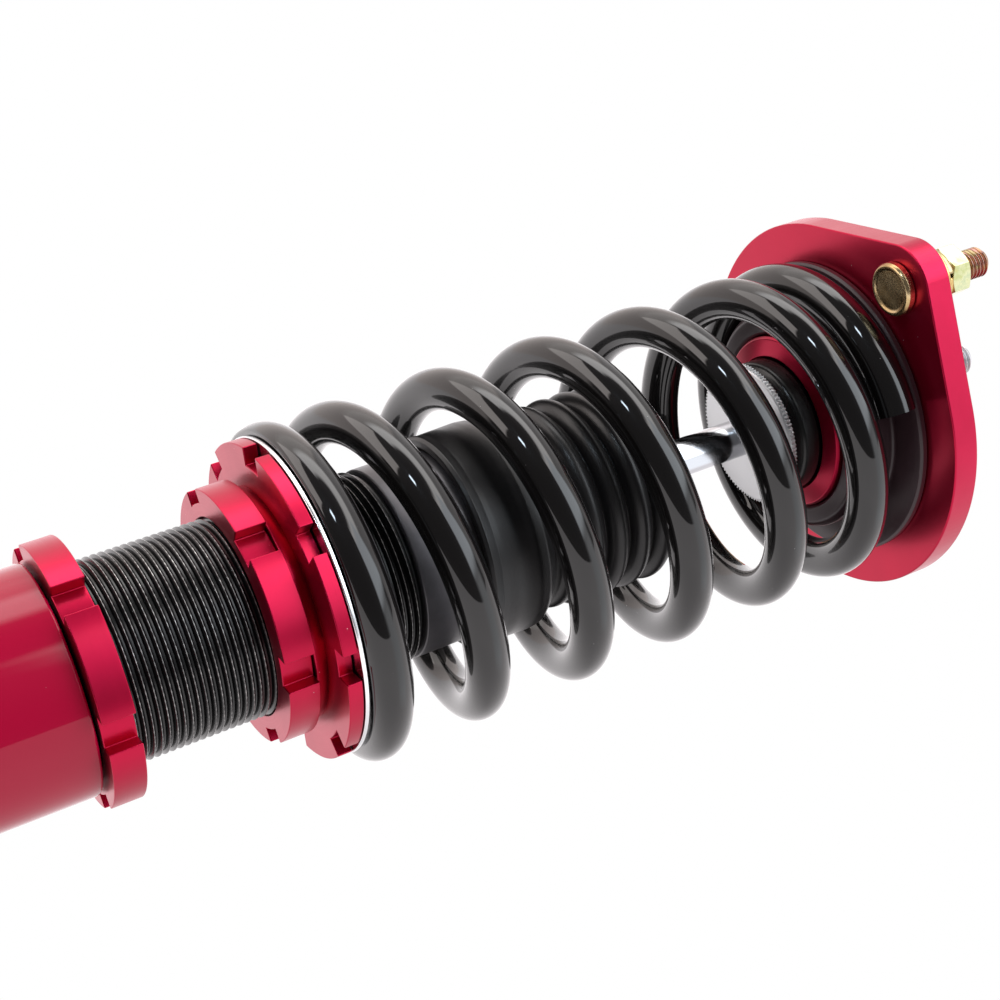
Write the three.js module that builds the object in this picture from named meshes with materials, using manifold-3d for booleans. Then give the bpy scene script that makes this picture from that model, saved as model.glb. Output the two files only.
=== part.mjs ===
// Coilover: an adjustable damper with its coil spring, from the chassis plate down to the lower eye.
// Millimetres, +Z up along the damper axis. The origin is the centre of the top plate's upper face,
// and the two mounting studs lie on X.
import * as THREE from 'three';
import { mergeVertices } from 'three/addons/utils/BufferGeometryUtils.js';
import Module from 'manifold-3d';

const wasm = await Module();
wasm.setup();

// ---- driving dimensions ----
const GAP = 0.3; // what touching pieces keep between them

// top plate and its studs
const PLATE_THICKNESS = 8;
const PLATE_RADIUS = 55.5;
const PLATE_BORE = 17;
const STUD_REACH = 56; // each stud's distance from the axis
const LOBE_RADIUS = 12.3;
const STUD_RADIUS = 4.3;
const STUD_HEAD_RADIUS = 7.5;
const STUD_HEAD_THICKNESS = 2.7;
const STUD_LENGTH_ABOVE = 22;
const STUD_WASHER_RADIUS = 10;
const STUD_WASHER_THICKNESS = 2.3;
const SPRING_WASHER_RADIUS = 7.6;
const SPRING_WASHER_THICKNESS = 2.9;
const STUD_NUT_ACROSS_FLATS = 13;
const STUD_NUT_HEIGHT = 6.4;
const STUD_NUT_ANGLE = 23;

// rubber-bushed rod mount in the plate
const HOUSING_RADIUS = 26;
const HOUSING_DEPTH = 26; // below the plate's upper face
const HOUSING_MOUTH = 20.7;
const ISOLATOR_HUB_RADIUS = 33.2;
const ISOLATOR_HUB_DEPTH = 24;
const ISOLATOR_FLANGE_RADIUS = 44.5;
const ISOLATOR_FLANGE_THICKNESS = 2.2;
const LOWER_CUP_Z = -37.2; // underside of the lower cup washer, on the rod's shoulder
const CUP_RADIUS = 21.2;
const CUP_THICKNESS = 1.9;
const BUSH_SLEEVE_RADIUS = 7.5;
const BUSH_RADIUS = 20;
const BUSH_STEP = -4.2; // where the lower bush's neck ends, inside the plate
const UPPER_BUSH_TOP = 16;
const ROD_NUT_ACROSS_FLATS = 17;
const ROD_NUT_HEIGHT = 9;

// rod and piston
const ROD_RADIUS = 5.5;
const ROD_STUD_RADIUS = 4.9;
const ROD_TOP = 46;
const PISTON_TOP = -187;
const PISTON_HEIGHT = 13;
const PISTON_RADIUS = 22.4;
const PISTON_GROOVE_RADIUS = 21;
const PISTON_LAND = 3;
const PISTON_BAND_RADIUS = 22.85;
const PISTON_NUT_ACROSS_FLATS = 16;
const PISTON_NUT_HEIGHT = 7;
const REBOUND_STOP_RADIUS = 11;
const REBOUND_STOP_HEIGHT = 5;
const ROD_BOTTOM = -210;

// damper body
const BODY_RADIUS = 26.5; // over the M53 x 2 thread
const BODY_BORE = 23;
const BODY_TOP = -158;
const BODY_BOTTOM = -312;
const GLAND_TOP = -127;
const GLAND_SPIGOT = 12;
const GLAND_BORE = 9;
const GUIDE_HEIGHT = 10;
const SEAL_HEIGHT = 7;
const WIPER_HEIGHT = 5.5;
const FLOATING_PISTON_TOP = -278;
const FLOATING_PISTON_HEIGHT = 13;
const FLOATING_PISTON_RADIUS = 22.6;
const FLOATING_GROOVE_RADIUS = 20.5;
const FLOATING_LAND = 4.5;
const FLOATING_RING_RADIUS = 22.8;
const BASE_PLUG_HEIGHT = 11;

// rubber boot over the rod
const CUFF_BOTTOM = -140;
const CUFF_RADIUS = 29.8;
const BELLOWS_BOTTOM = -118.9;
const BELLOWS_TOP = -77.6;
const BELLOWS_CREST = 28.5;
const BELLOWS_ROOT = 24.2;
const BELLOWS_FOLDS = 5;
const BELLOWS_END_BORE = 7;
const RUBBER_WALL = 1.6;
const CUFF_LIP_RADIUS = 22;
const BUMP_STOP_HEIGHT = 26;
const BUMP_STOP_RADIUS = 16;

// castellated rings on the body's thread
const LOCK_RING_TOP = -237;
const LOCK_RING_HEIGHT = 8.4;
const RING_RADIUS = 34.3;
const RING_BORE = BODY_RADIUS + GAP;
const RING_NOTCHES = 6;
const RING_NOTCH = { angle: 14, depth: 3.8 };
const EXPOSED_THREAD = 37.1; // between the lower lock ring and the perch's lock ring
const PERCH_LOCK_HEIGHT = 8.3;
const PERCH_NECK = 3.2;
const PERCH_NECK_RADIUS = 31.5;
const PERCH_FLANGE = 3.9;
const PERCH_RADIUS = 43;
const PERCH_NOTCHES = 8;
const PERCH_NOTCH = { angle: 10.5, depth: 5 };
const PERCH_WASHER = 1.2;

// coil spring
const SPRING_TOP = -11.1;
const WIRE_RADIUS = 5.8;
const COIL_RADIUS = 41.2;
const SPRING_OFFSET = 1.2; // the spring sits this far off the axis on its seats
const SPRING_OFFSET_ANGLE = 116;
const SPRING_ANGLE = 26; // where whole turns are counted from
const WORKING_PITCH = 31.44;
const CLOSED_PITCH = 7;
const FIRST_TURN = 0.45;
const LAST_TURN = 7.025;
const BOTTOM_CLOSING = { start: 1.1, length: 0.383 };
const TOP_CLOSING = { start: 5.3, length: 1.8 };

// lower bracket
const BRACKET_RADIUS = 30.2;
const BRACKET_TOP = -246.3;
const BRACKET_FLOOR = -346;
const BRACKET_BOTTOM = -352;
const EYE_Z = -370;
const EYE_RADIUS = 21;
const EYE_BORE = 16;
const EYE_WIDTH = 36;
const EYE_BUSH_LENGTH = 38;
const EYE_SLEEVE_RADIUS = 9;
const EYE_SLEEVE_BORE = 6.1;
const EYE_SLEEVE_LENGTH = 44;

const FINE = 36; // sides of a large round
const COARSE = 20; // sides of a small round

// ---- finishes ----
const finish = (color, roughness, metalness) => ({ color, roughness, metalness });
const FINISHES = {
  redAnodised: finish(0xc01238, 0.34, 0.85),
  redPaint: finish(0xb00730, 0.12, 0.1),
  blackThread: finish(0x111112, 0.3, 0.6),
  springCoat: finish(0x141213, 0.14, 0.1),
  rubber: finish(0x17171a, 0.62, 0),
  brightZinc: finish(0xc3c6c8, 0.3, 1),
  yellowZinc: finish(0xc9b867, 0.32, 1),
  chrome: finish(0xd8dade, 0.07, 1),
  steel: finish(0x8c8e92, 0.38, 1),
  aluminium: finish(0xb9bbbd, 0.4, 1),
  bronze: finish(0x8a6a3a, 0.45, 0.6),
  urethane: finish(0xc8a24a, 0.6, 0),
};

// ---- helpers ----
const group = new THREE.Group();

function add(name, geometry, finishName, place = [0, 0, 0], angle = 0) {
  const mesh = new THREE.Mesh(geometry, new THREE.MeshStandardMaterial(FINISHES[finishName]));
  mesh.name = name;
  mesh.position.set(...place);
  mesh.rotation.z = THREE.MathUtils.degToRad(angle);
  group.add(mesh);
  return mesh;
}

// A solid of revolution about Z from [radius, z] points, given anticlockwise with z up.
function revolve(points, sides = FINE) {
  const profile = points.map(([radius, z]) => new THREE.Vector2(radius, z));
  const onAxis = points[0][0] === 0;
  if (!onAxis) {
    profile.push(profile[0].clone());
  }
  const geometry = new THREE.LatheGeometry(profile, sides);
  geometry.rotateX(Math.PI / 2);
  return geometry;
}

// A plain ring, or a rod when the bore is 0, with chamfers on its outer edges.
function ring(outer, bore, bottom, top, { chamfer = 0, sides = FINE } = {}) {
  const outside = chamfer
    ? [[outer - chamfer, bottom], [outer, bottom + chamfer], [outer, top - chamfer], [outer - chamfer, top]]
    : [[outer, bottom], [outer, top]];
  return revolve([[bore, bottom], ...outside, [bore, top]], sides);
}

function extrude(shape, bottom, height, curveSegments = 12) {
  const geometry = new THREE.ExtrudeGeometry(shape, { depth: height, bevelEnabled: false, curveSegments });
  geometry.translate(0, 0, bottom);
  return geometry;
}

// A round hole whose flats, not its corners, stand at the radius.
function roundHole(radius, x = 0, sides = COARSE) {
  const corner = radius / Math.cos(Math.PI / sides);
  const points = [];
  for (let i = 0; i < sides; i += 1) {
    const angle = -2 * Math.PI * i / sides;
    points.push(new THREE.Vector2(x + corner * Math.cos(angle), corner * Math.sin(angle)));
  }
  return new THREE.Path(points);
}

// A round outline with square spanner notches of an angle and depth, the first one centred on the X axis.
function castellated(outer, bore, notches, { angle, depth }) {
  const shape = new THREE.Shape();
  const step = 2 * Math.PI / notches;
  const half = THREE.MathUtils.degToRad(angle) / 2;
  for (let i = 0; i < notches; i += 1) {
    const centre = i * step;
    shape.absarc(0, 0, outer - depth, centre - half, centre + half, false);
    shape.absarc(0, 0, outer, centre + half, centre + step - half, false);
  }
  shape.closePath();
  shape.holes.push(roundHole(bore, 0, FINE));
  return shape;
}

function hexagon(acrossFlats, bore) {
  const shape = new THREE.Shape();
  const corner = acrossFlats / Math.sqrt(3);
  for (let i = 0; i < 6; i += 1) {
    const angle = i * Math.PI / 3;
    const move = i === 0 ? 'moveTo' : 'lineTo';
    shape[move](corner * Math.cos(angle), corner * Math.sin(angle));
  }
  shape.closePath();
  shape.holes.push(roundHole(bore));
  return shape;
}

function toSolid(geometry) {
  const bare = geometry.index ? geometry.toNonIndexed() : geometry.clone();
  bare.deleteAttribute('normal');
  bare.deleteAttribute('uv');
  const merged = mergeVertices(bare, 1e-4);
  return new wasm.Manifold(new wasm.Mesh({
    numProp: 3,
    vertProperties: new Float32Array(merged.attributes.position.array),
    triVerts: new Uint32Array(merged.index.array),
  }));
}

function toGeometry(solid) {
  const mesh = solid.getMesh();
  const geometry = new THREE.BufferGeometry();
  geometry.setAttribute('position', new THREE.BufferAttribute(new Float32Array(mesh.vertProperties), 3));
  geometry.setIndex(new THREE.BufferAttribute(new Uint32Array(mesh.triVerts), 1));
  geometry.computeVertexNormals();
  return geometry;
}

// ---- top plate, studs and rod mount ----
function plateOutline() {
  const shape = new THREE.Shape();
  const tangent = Math.acos((PLATE_RADIUS - LOBE_RADIUS) / STUD_REACH);
  for (const side of [0, Math.PI]) {
    const x = STUD_REACH * Math.cos(side);
    shape.absarc(x, 0, LOBE_RADIUS, side - tangent, side + tangent, false);
    shape.absarc(0, 0, PLATE_RADIUS, side + tangent, side + Math.PI - tangent, false);
  }
  shape.closePath();
  shape.holes.push(roundHole(PLATE_BORE, 0, FINE));
  for (const x of [-STUD_REACH, STUD_REACH]) {
    shape.holes.push(roundHole(STUD_RADIUS + GAP, x));
  }
  return shape;
}

function studSet(side, x) {
  const headTop = -PLATE_THICKNESS - GAP;
  const stud = revolve([
    [0, headTop - STUD_HEAD_THICKNESS],
    [STUD_HEAD_RADIUS - 1, headTop - STUD_HEAD_THICKNESS],
    [STUD_HEAD_RADIUS, headTop - STUD_HEAD_THICKNESS + 0.8],
    [STUD_HEAD_RADIUS, headTop],
    [STUD_RADIUS, headTop],
    [STUD_RADIUS, STUD_LENGTH_ABOVE - 1.2],
    [STUD_RADIUS - 1.2, STUD_LENGTH_ABOVE],
    [0, STUD_LENGTH_ABOVE],
  ], COARSE);
  const place = [x, 0, 0];
  const bore = STUD_RADIUS + GAP;
  const washerTop = GAP + STUD_WASHER_THICKNESS;
  const washer = ring(STUD_WASHER_RADIUS, bore, GAP, washerTop, { sides: COARSE });
  const springBottom = washerTop + GAP;
  const springTop = springBottom + SPRING_WASHER_THICKNESS;
  const springWasher = ring(SPRING_WASHER_RADIUS, bore, springBottom, springTop, { sides: COARSE });
  const nut = extrude(hexagon(STUD_NUT_ACROSS_FLATS, bore), springTop + GAP, STUD_NUT_HEIGHT, 6);
  add(`stud_${side}`, stud, 'yellowZinc', place);
  add(`stud_washer_${side}`, washer, 'yellowZinc', place);
  add(`stud_spring_washer_${side}`, springWasher, 'yellowZinc', place);
  add(`stud_nut_${side}`, nut, 'yellowZinc', place, STUD_NUT_ANGLE);
}

function topMount() {
  const plateBottom = -PLATE_THICKNESS;
  add('top_plate', extrude(plateOutline(), plateBottom, PLATE_THICKNESS, 7), 'redAnodised');
  studSet('left', -STUD_REACH);
  studSet('right', STUD_REACH);
  add('bush_housing', revolve([
    [HOUSING_MOUTH, -HOUSING_DEPTH],
    [HOUSING_RADIUS, -HOUSING_DEPTH + 0.8],
    [HOUSING_RADIUS, plateBottom - GAP],
    [PLATE_BORE, plateBottom - GAP],
    [PLATE_BORE, -HOUSING_DEPTH + 4.5],
  ]), 'redAnodised');
  const flangeBottom = plateBottom - GAP - ISOLATOR_FLANGE_THICKNESS;
  const hubBore = HOUSING_RADIUS + GAP;
  add('spring_isolator', revolve([
    [hubBore, -ISOLATOR_HUB_DEPTH],
    [ISOLATOR_HUB_RADIUS - 2, -ISOLATOR_HUB_DEPTH],
    [ISOLATOR_HUB_RADIUS, -ISOLATOR_HUB_DEPTH + 2],
    [ISOLATOR_HUB_RADIUS, flangeBottom],
    [ISOLATOR_FLANGE_RADIUS, flangeBottom],
    [ISOLATOR_FLANGE_RADIUS, plateBottom - GAP],
    [hubBore, plateBottom - GAP],
  ]), 'rubber');
  const cupTop = LOWER_CUP_Z + CUP_THICKNESS;
  const bushBore = BUSH_SLEEVE_RADIUS + GAP;
  const neck = PLATE_BORE - GAP;
  add('lower_bush', revolve([
    [bushBore, cupTop + GAP],
    [BUSH_RADIUS - 3.5, cupTop + GAP],
    [BUSH_RADIUS - 0.8, cupTop + 3],
    [BUSH_RADIUS, cupTop + 6],
    [BUSH_RADIUS - 0.5, -HOUSING_DEPTH - GAP],
    [neck, -HOUSING_DEPTH + 3],
    [neck, BUSH_STEP],
    [bushBore, BUSH_STEP],
  ]), 'rubber');
  add('upper_bush', revolve([
    [bushBore, BUSH_STEP + GAP],
    [neck, BUSH_STEP + GAP],
    [neck, GAP],
    [BUSH_RADIUS, GAP],
    [BUSH_RADIUS + 0.4, UPPER_BUSH_TOP / 2],
    [BUSH_RADIUS - 1.5, UPPER_BUSH_TOP],
    [bushBore, UPPER_BUSH_TOP],
  ]), 'rubber');
  const studBore = ROD_STUD_RADIUS + GAP;
  const sleeve = ring(BUSH_SLEEVE_RADIUS, studBore, cupTop + GAP, UPPER_BUSH_TOP, { sides: COARSE });
  add('bush_sleeve', sleeve, 'steel');
  add('lower_cup_washer', ring(CUP_RADIUS, studBore, LOWER_CUP_Z, cupTop, { chamfer: 0.5 }), 'brightZinc');
  const upperCup = UPPER_BUSH_TOP + GAP;
  add('upper_cup_washer', ring(CUP_RADIUS, studBore, upperCup, upperCup + 2, { chamfer: 0.5 }), 'brightZinc');
  const nutBottom = upperCup + 2 + GAP;
  add('rod_nut', extrude(hexagon(ROD_NUT_ACROSS_FLATS, studBore), nutBottom, ROD_NUT_HEIGHT, 6), 'brightZinc');
}

// ---- rod and piston ----
function rodAndPiston() {
  const pistonBottom = PISTON_TOP - PISTON_HEIGHT;
  const shoulder = LOWER_CUP_Z - GAP;
  add('piston_rod', revolve([
    [0, ROD_BOTTOM],
    [ROD_STUD_RADIUS, ROD_BOTTOM],
    [ROD_STUD_RADIUS, PISTON_TOP + GAP],
    [ROD_RADIUS, PISTON_TOP + GAP],
    [ROD_RADIUS, shoulder],
    [ROD_STUD_RADIUS, shoulder],
    [ROD_STUD_RADIUS, ROD_TOP - 1],
    [ROD_STUD_RADIUS - 1, ROD_TOP],
    [0, ROD_TOP],
  ], COARSE), 'chrome');
  const bore = ROD_STUD_RADIUS + GAP;
  const lowLand = pistonBottom + PISTON_LAND;
  const highLand = PISTON_TOP - PISTON_LAND;
  add('piston', revolve([
    [bore, pistonBottom],
    [PISTON_RADIUS, pistonBottom],
    [PISTON_RADIUS, lowLand],
    [PISTON_GROOVE_RADIUS, lowLand],
    [PISTON_GROOVE_RADIUS, highLand],
    [PISTON_RADIUS, highLand],
    [PISTON_RADIUS, PISTON_TOP],
    [bore, PISTON_TOP],
  ]), 'aluminium');
  const band = ring(PISTON_BAND_RADIUS, PISTON_GROOVE_RADIUS + GAP, lowLand + GAP, highLand - GAP);
  add('piston_band', band, 'bronze');
  const stopBottom = PISTON_TOP + 2 * GAP;
  const stopTop = stopBottom + REBOUND_STOP_HEIGHT;
  const stop = ring(REBOUND_STOP_RADIUS, ROD_RADIUS + GAP, stopBottom, stopTop, { sides: COARSE });
  add('rebound_stop', stop, 'rubber');
  const nutBottom = pistonBottom - GAP - PISTON_NUT_HEIGHT;
  const nut = extrude(hexagon(PISTON_NUT_ACROSS_FLATS, bore), nutBottom, PISTON_NUT_HEIGHT, 6);
  add('piston_nut', nut, 'steel');
}

// ---- damper body ----
function damperBody() {
  add('threaded_body', ring(BODY_RADIUS, BODY_BORE, BODY_BOTTOM, BODY_TOP, { chamfer: 1 }), 'blackThread');
  const seat = BODY_TOP + GAP;
  const spigot = BODY_BORE - GAP;
  const spigotBottom = seat - GLAND_SPIGOT;
  add('gland_nut', revolve([
    [GLAND_BORE, spigotBottom],
    [spigot, spigotBottom],
    [spigot, seat],
    [BODY_RADIUS - 0.2, seat],
    [BODY_RADIUS - 0.2, GLAND_TOP - 1.5],
    [BODY_RADIUS - 1.7, GLAND_TOP],
    [GLAND_BORE, GLAND_TOP],
  ]), 'blackThread');
  const guideTop = spigotBottom - GAP;
  add('rod_guide', ring(spigot, ROD_RADIUS + 0.08, guideTop - GUIDE_HEIGHT, guideTop, { sides: COARSE }), 'bronze');
  const sealOuter = GLAND_BORE - GAP;
  const sealBore = ROD_RADIUS + GAP;
  const sealBottom = spigotBottom + 2;
  const seal = ring(sealOuter, sealBore, sealBottom, sealBottom + SEAL_HEIGHT, { sides: COARSE });
  add('rod_seal', seal, 'rubber');
  const wiperTop = GLAND_TOP + 0.5;
  const wiper = ring(sealOuter, sealBore, wiperTop - WIPER_HEIGHT, wiperTop, { sides: COARSE });
  add('rod_wiper', wiper, 'rubber');
  const plugTop = BODY_BOTTOM + BASE_PLUG_HEIGHT;
  add('base_plug', revolve([
    [0, BODY_BOTTOM],
    [spigot, BODY_BOTTOM],
    [spigot, plugTop],
    [0, plugTop],
  ], COARSE), 'steel');
  const floatBottom = FLOATING_PISTON_TOP - FLOATING_PISTON_HEIGHT;
  const lowLand = floatBottom + FLOATING_LAND;
  const highLand = FLOATING_PISTON_TOP - FLOATING_LAND;
  const dish = FLOATING_PISTON_TOP - 4;
  add('floating_piston', revolve([
    [0, floatBottom],
    [FLOATING_PISTON_RADIUS, floatBottom],
    [FLOATING_PISTON_RADIUS, lowLand],
    [FLOATING_GROOVE_RADIUS, lowLand],
    [FLOATING_GROOVE_RADIUS, highLand],
    [FLOATING_PISTON_RADIUS, highLand],
    [FLOATING_PISTON_RADIUS, FLOATING_PISTON_TOP],
    [12, FLOATING_PISTON_TOP],
    [10, dish],
    [0, dish],
  ], COARSE), 'aluminium');
  const sealRing = ring(FLOATING_RING_RADIUS, FLOATING_GROOVE_RADIUS + GAP, lowLand + GAP, highLand - GAP);
  add('floating_piston_ring', sealRing, 'rubber');
}

// ---- boot and bump stop ----
function boot() {
  const cuffBore = BODY_RADIUS + GAP;
  const shoulder = BELLOWS_BOTTOM - GAP;
  add('boot_cuff', revolve([
    [cuffBore, CUFF_BOTTOM],
    [CUFF_RADIUS, CUFF_BOTTOM],
    [CUFF_RADIUS, shoulder - 4.5],
    [CUFF_RADIUS - 1.2, shoulder - 1.6],
    [CUFF_RADIUS - 3.6, shoulder],
    [CUFF_LIP_RADIUS, shoulder],
    [CUFF_LIP_RADIUS, shoulder - 2],
    [cuffBore - 1.5, shoulder - 2.6],
    [cuffBore, shoulder - 5],
  ]), 'rubber');
  const fold = (BELLOWS_TOP - BELLOWS_BOTTOM - 3.6) / BELLOWS_FOLDS;
  const outside = [];
  const inside = [];
  for (let i = 0; i < BELLOWS_FOLDS; i += 1) {
    const base = BELLOWS_BOTTOM + 1.8 + i * fold;
    const crest = i === 0 ? BELLOWS_CREST - 1.5 : BELLOWS_CREST;
    outside.push([BELLOWS_ROOT, base], [crest, base + fold / 2]);
    inside.push([BELLOWS_ROOT - RUBBER_WALL, base], [crest - RUBBER_WALL - 0.6, base + fold / 2]);
  }
  add('boot_bellows', revolve([
    [BELLOWS_ROOT - RUBBER_WALL, BELLOWS_BOTTOM],
    [BELLOWS_ROOT, BELLOWS_BOTTOM],
    ...outside,
    [BELLOWS_ROOT, BELLOWS_TOP - 1.8],
    [BELLOWS_ROOT - 1, BELLOWS_TOP],
    [BELLOWS_END_BORE, BELLOWS_TOP],
    [BELLOWS_END_BORE, BELLOWS_TOP - RUBBER_WALL],
    [BELLOWS_ROOT - RUBBER_WALL, BELLOWS_TOP - RUBBER_WALL - 0.8],
    ...inside.reverse(),
  ], COARSE), 'rubber');
  const stopBottom = GLAND_TOP + 0.8;
  add('bump_stop', revolve([
    [ROD_RADIUS + 0.8, stopBottom],
    [BUMP_STOP_RADIUS, stopBottom],
    [BUMP_STOP_RADIUS, stopBottom + 8],
    [BUMP_STOP_RADIUS - 2, stopBottom + 10],
    [BUMP_STOP_RADIUS - 1, stopBottom + 12],
    [BUMP_STOP_RADIUS - 4.5, stopBottom + BUMP_STOP_HEIGHT],
    [ROD_RADIUS + 0.8, stopBottom + BUMP_STOP_HEIGHT],
  ], COARSE), 'urethane');
}

// ---- castellated rings ----
function threadedRings() {
  const ringShape = castellated(RING_RADIUS, RING_BORE, RING_NOTCHES, RING_NOTCH);
  const lockBottom = LOCK_RING_TOP - LOCK_RING_HEIGHT;
  add('lower_lock_ring', extrude(ringShape, lockBottom, LOCK_RING_HEIGHT, 3), 'redAnodised', [0, 0, 0], -4.5);
  const perchLockBottom = LOCK_RING_TOP + EXPOSED_THREAD;
  const perchLock = extrude(ringShape, perchLockBottom, PERCH_LOCK_HEIGHT, 3);
  add('perch_lock_ring', perchLock, 'redAnodised', [0, 0, 0], -1.5);
  const neckBottom = perchLockBottom + PERCH_LOCK_HEIGHT + GAP;
  const flangeBottom = neckBottom + PERCH_NECK;
  const flangeShape = castellated(PERCH_RADIUS, RING_BORE, PERCH_NOTCHES, PERCH_NOTCH);
  const flange = toSolid(extrude(flangeShape, flangeBottom, PERCH_FLANGE, 3));
  const neck = toSolid(ring(PERCH_NECK_RADIUS, RING_BORE, neckBottom, flangeBottom + 1));
  add('spring_perch', toGeometry(flange.add(neck)), 'redAnodised', [0, 0, 0], 10.5);
  const washerBottom = flangeBottom + PERCH_FLANGE + GAP;
  const washerTop = washerBottom + PERCH_WASHER;
  add('perch_washer', ring(PERCH_RADIUS + 0.3, RING_BORE, washerBottom, washerTop), 'brightZinc');
  return washerTop;
}

// ---- coil spring ----
// How far a turn count has risen once the pitch has opened smoothly over a stretch of turns.
function opened(turn, { start, length }) {
  const x = THREE.MathUtils.clamp((turn - start) / length, 0, 1);
  return length * (x ** 3 - x ** 4 / 2) + Math.max(turn - start - length, 0);
}

class SpringLine extends THREE.Curve {
  constructor(startZ) {
    super();
    this.startZ = startZ;
  }

  getPoint(t, target = new THREE.Vector3()) {
    const turn = THREE.MathUtils.lerp(FIRST_TURN, LAST_TURN, t);
    const openTurns = opened(turn, BOTTOM_CLOSING) - opened(turn, TOP_CLOSING);
    const z = this.startZ + CLOSED_PITCH * (turn - FIRST_TURN) + (WORKING_PITCH - CLOSED_PITCH) * openTurns;
    const angle = THREE.MathUtils.degToRad(SPRING_ANGLE) + 2 * Math.PI * turn;
    return target.set(COIL_RADIUS * Math.cos(angle), COIL_RADIUS * Math.sin(angle), z);
  }
}

function coilSpring(seatZ) {
  const springBottom = seatZ + GAP;
  const startZ = springBottom + 1.2;
  const wire = new THREE.Shape().absarc(0, 0, WIRE_RADIUS, 0, 2 * Math.PI, false);
  const steps = Math.round((LAST_TURN - FIRST_TURN) * 16);
  const tube = new THREE.ExtrudeGeometry(wire, {
    steps,
    curveSegments: 4,
    bevelEnabled: false,
    extrudePath: new SpringLine(startZ),
  });
  // both end coils are ground flat to sit on their seats
  const block = ring(COIL_RADIUS + 2 * WIRE_RADIUS, 0, springBottom, SPRING_TOP, { sides: COARSE });
  const ground = toSolid(tube).intersect(toSolid(block));
  const angle = THREE.MathUtils.degToRad(SPRING_OFFSET_ANGLE);
  const offset = [SPRING_OFFSET * Math.cos(angle), SPRING_OFFSET * Math.sin(angle), 0];
  add('coil_spring', toGeometry(ground), 'springCoat', offset);
}

// ---- lower bracket and its eye ----
function lowerBracket() {
  const cup = revolve([
    [0, BRACKET_BOTTOM],
    [BRACKET_RADIUS - 4, BRACKET_BOTTOM],
    [BRACKET_RADIUS, BRACKET_BOTTOM + 4],
    [BRACKET_RADIUS, BRACKET_TOP - 0.8],
    [BRACKET_RADIUS - 0.8, BRACKET_TOP],
    [RING_BORE, BRACKET_TOP],
    [RING_BORE, BRACKET_FLOOR],
    [0, BRACKET_FLOOR],
  ]);
  const acrossEye = (geometry) => geometry.rotateX(Math.PI / 2).translate(0, 0, EYE_Z);
  const eye = acrossEye(ring(EYE_RADIUS, 0, -EYE_WIDTH / 2, EYE_WIDTH / 2, { chamfer: 1 }));
  const bore = acrossEye(ring(EYE_BORE, 0, -EYE_WIDTH, EYE_WIDTH));
  const bracket = toSolid(cup).add(toSolid(eye)).subtract(toSolid(bore));
  add('lower_bracket', toGeometry(bracket), 'redPaint');
  const bushHalf = EYE_BUSH_LENGTH / 2;
  const bush = ring(EYE_BORE - GAP, EYE_SLEEVE_RADIUS + GAP, -bushHalf, bushHalf, { chamfer: 1.5, sides: COARSE });
  add('eye_bush', acrossEye(bush), 'rubber');
  const half = EYE_SLEEVE_LENGTH / 2;
  const sleeve = ring(EYE_SLEEVE_RADIUS, EYE_SLEEVE_BORE, -half, half, { chamfer: 0.6, sides: COARSE });
  add('eye_sleeve', acrossEye(sleeve), 'steel');
}

topMount();
rodAndPiston();
damperBody();
boot();
const springSeat = threadedRings();
coilSpring(springSeat);
lowerBracket();

export default group;
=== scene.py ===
"""Looks of the coilover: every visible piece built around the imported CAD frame.

Lengths in the fields below are in millimetres unless they say otherwise, in the CAD's own frame:
+Z up along the damper's axis, with the top plate's upper face at zero and its studs on X.
"""

import logging
import math
from dataclasses import dataclass, field
from enum import Enum
from typing import Sequence

import bmesh
import bpy
from mathutils import Matrix, Vector


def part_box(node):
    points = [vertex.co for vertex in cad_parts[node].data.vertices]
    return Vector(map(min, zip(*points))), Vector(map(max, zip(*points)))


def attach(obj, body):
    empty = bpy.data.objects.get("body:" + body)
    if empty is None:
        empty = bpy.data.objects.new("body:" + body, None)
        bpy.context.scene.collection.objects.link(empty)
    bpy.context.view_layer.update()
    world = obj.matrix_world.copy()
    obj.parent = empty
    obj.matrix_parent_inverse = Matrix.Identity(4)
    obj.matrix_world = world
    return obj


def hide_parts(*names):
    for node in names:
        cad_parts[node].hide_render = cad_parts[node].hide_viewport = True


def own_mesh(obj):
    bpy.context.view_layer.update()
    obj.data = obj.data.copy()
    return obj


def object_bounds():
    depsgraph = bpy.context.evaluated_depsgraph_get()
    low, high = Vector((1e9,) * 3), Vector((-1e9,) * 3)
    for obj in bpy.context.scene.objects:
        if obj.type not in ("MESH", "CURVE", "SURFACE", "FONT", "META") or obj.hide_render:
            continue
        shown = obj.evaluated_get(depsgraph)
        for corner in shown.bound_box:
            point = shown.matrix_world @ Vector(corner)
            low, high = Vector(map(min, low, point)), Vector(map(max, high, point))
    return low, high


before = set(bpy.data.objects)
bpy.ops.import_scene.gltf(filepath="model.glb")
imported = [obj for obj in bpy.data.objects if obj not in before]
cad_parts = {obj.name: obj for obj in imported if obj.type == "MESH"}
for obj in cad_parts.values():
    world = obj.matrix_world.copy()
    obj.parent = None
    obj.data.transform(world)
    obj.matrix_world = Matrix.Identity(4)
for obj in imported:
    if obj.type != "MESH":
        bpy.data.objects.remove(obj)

LOG = logging.getLogger("coilover")
MM = 0.001
CAD_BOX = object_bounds()
Corner = Sequence[float]
Socket = bpy.types.NodeSocket


class Body(Enum):
    """The CAD bodies that pieces ride on."""

    CHASSIS = "chassis_side"
    DAMPER = "damper_body"
    GAS_PISTON = "gas_piston"
    SLIP_WASHER = "slip_washer"
    PERCH = "perch"
    BRACKET = "bracket"
    LOCK_RING = "lock_ring"


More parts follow.
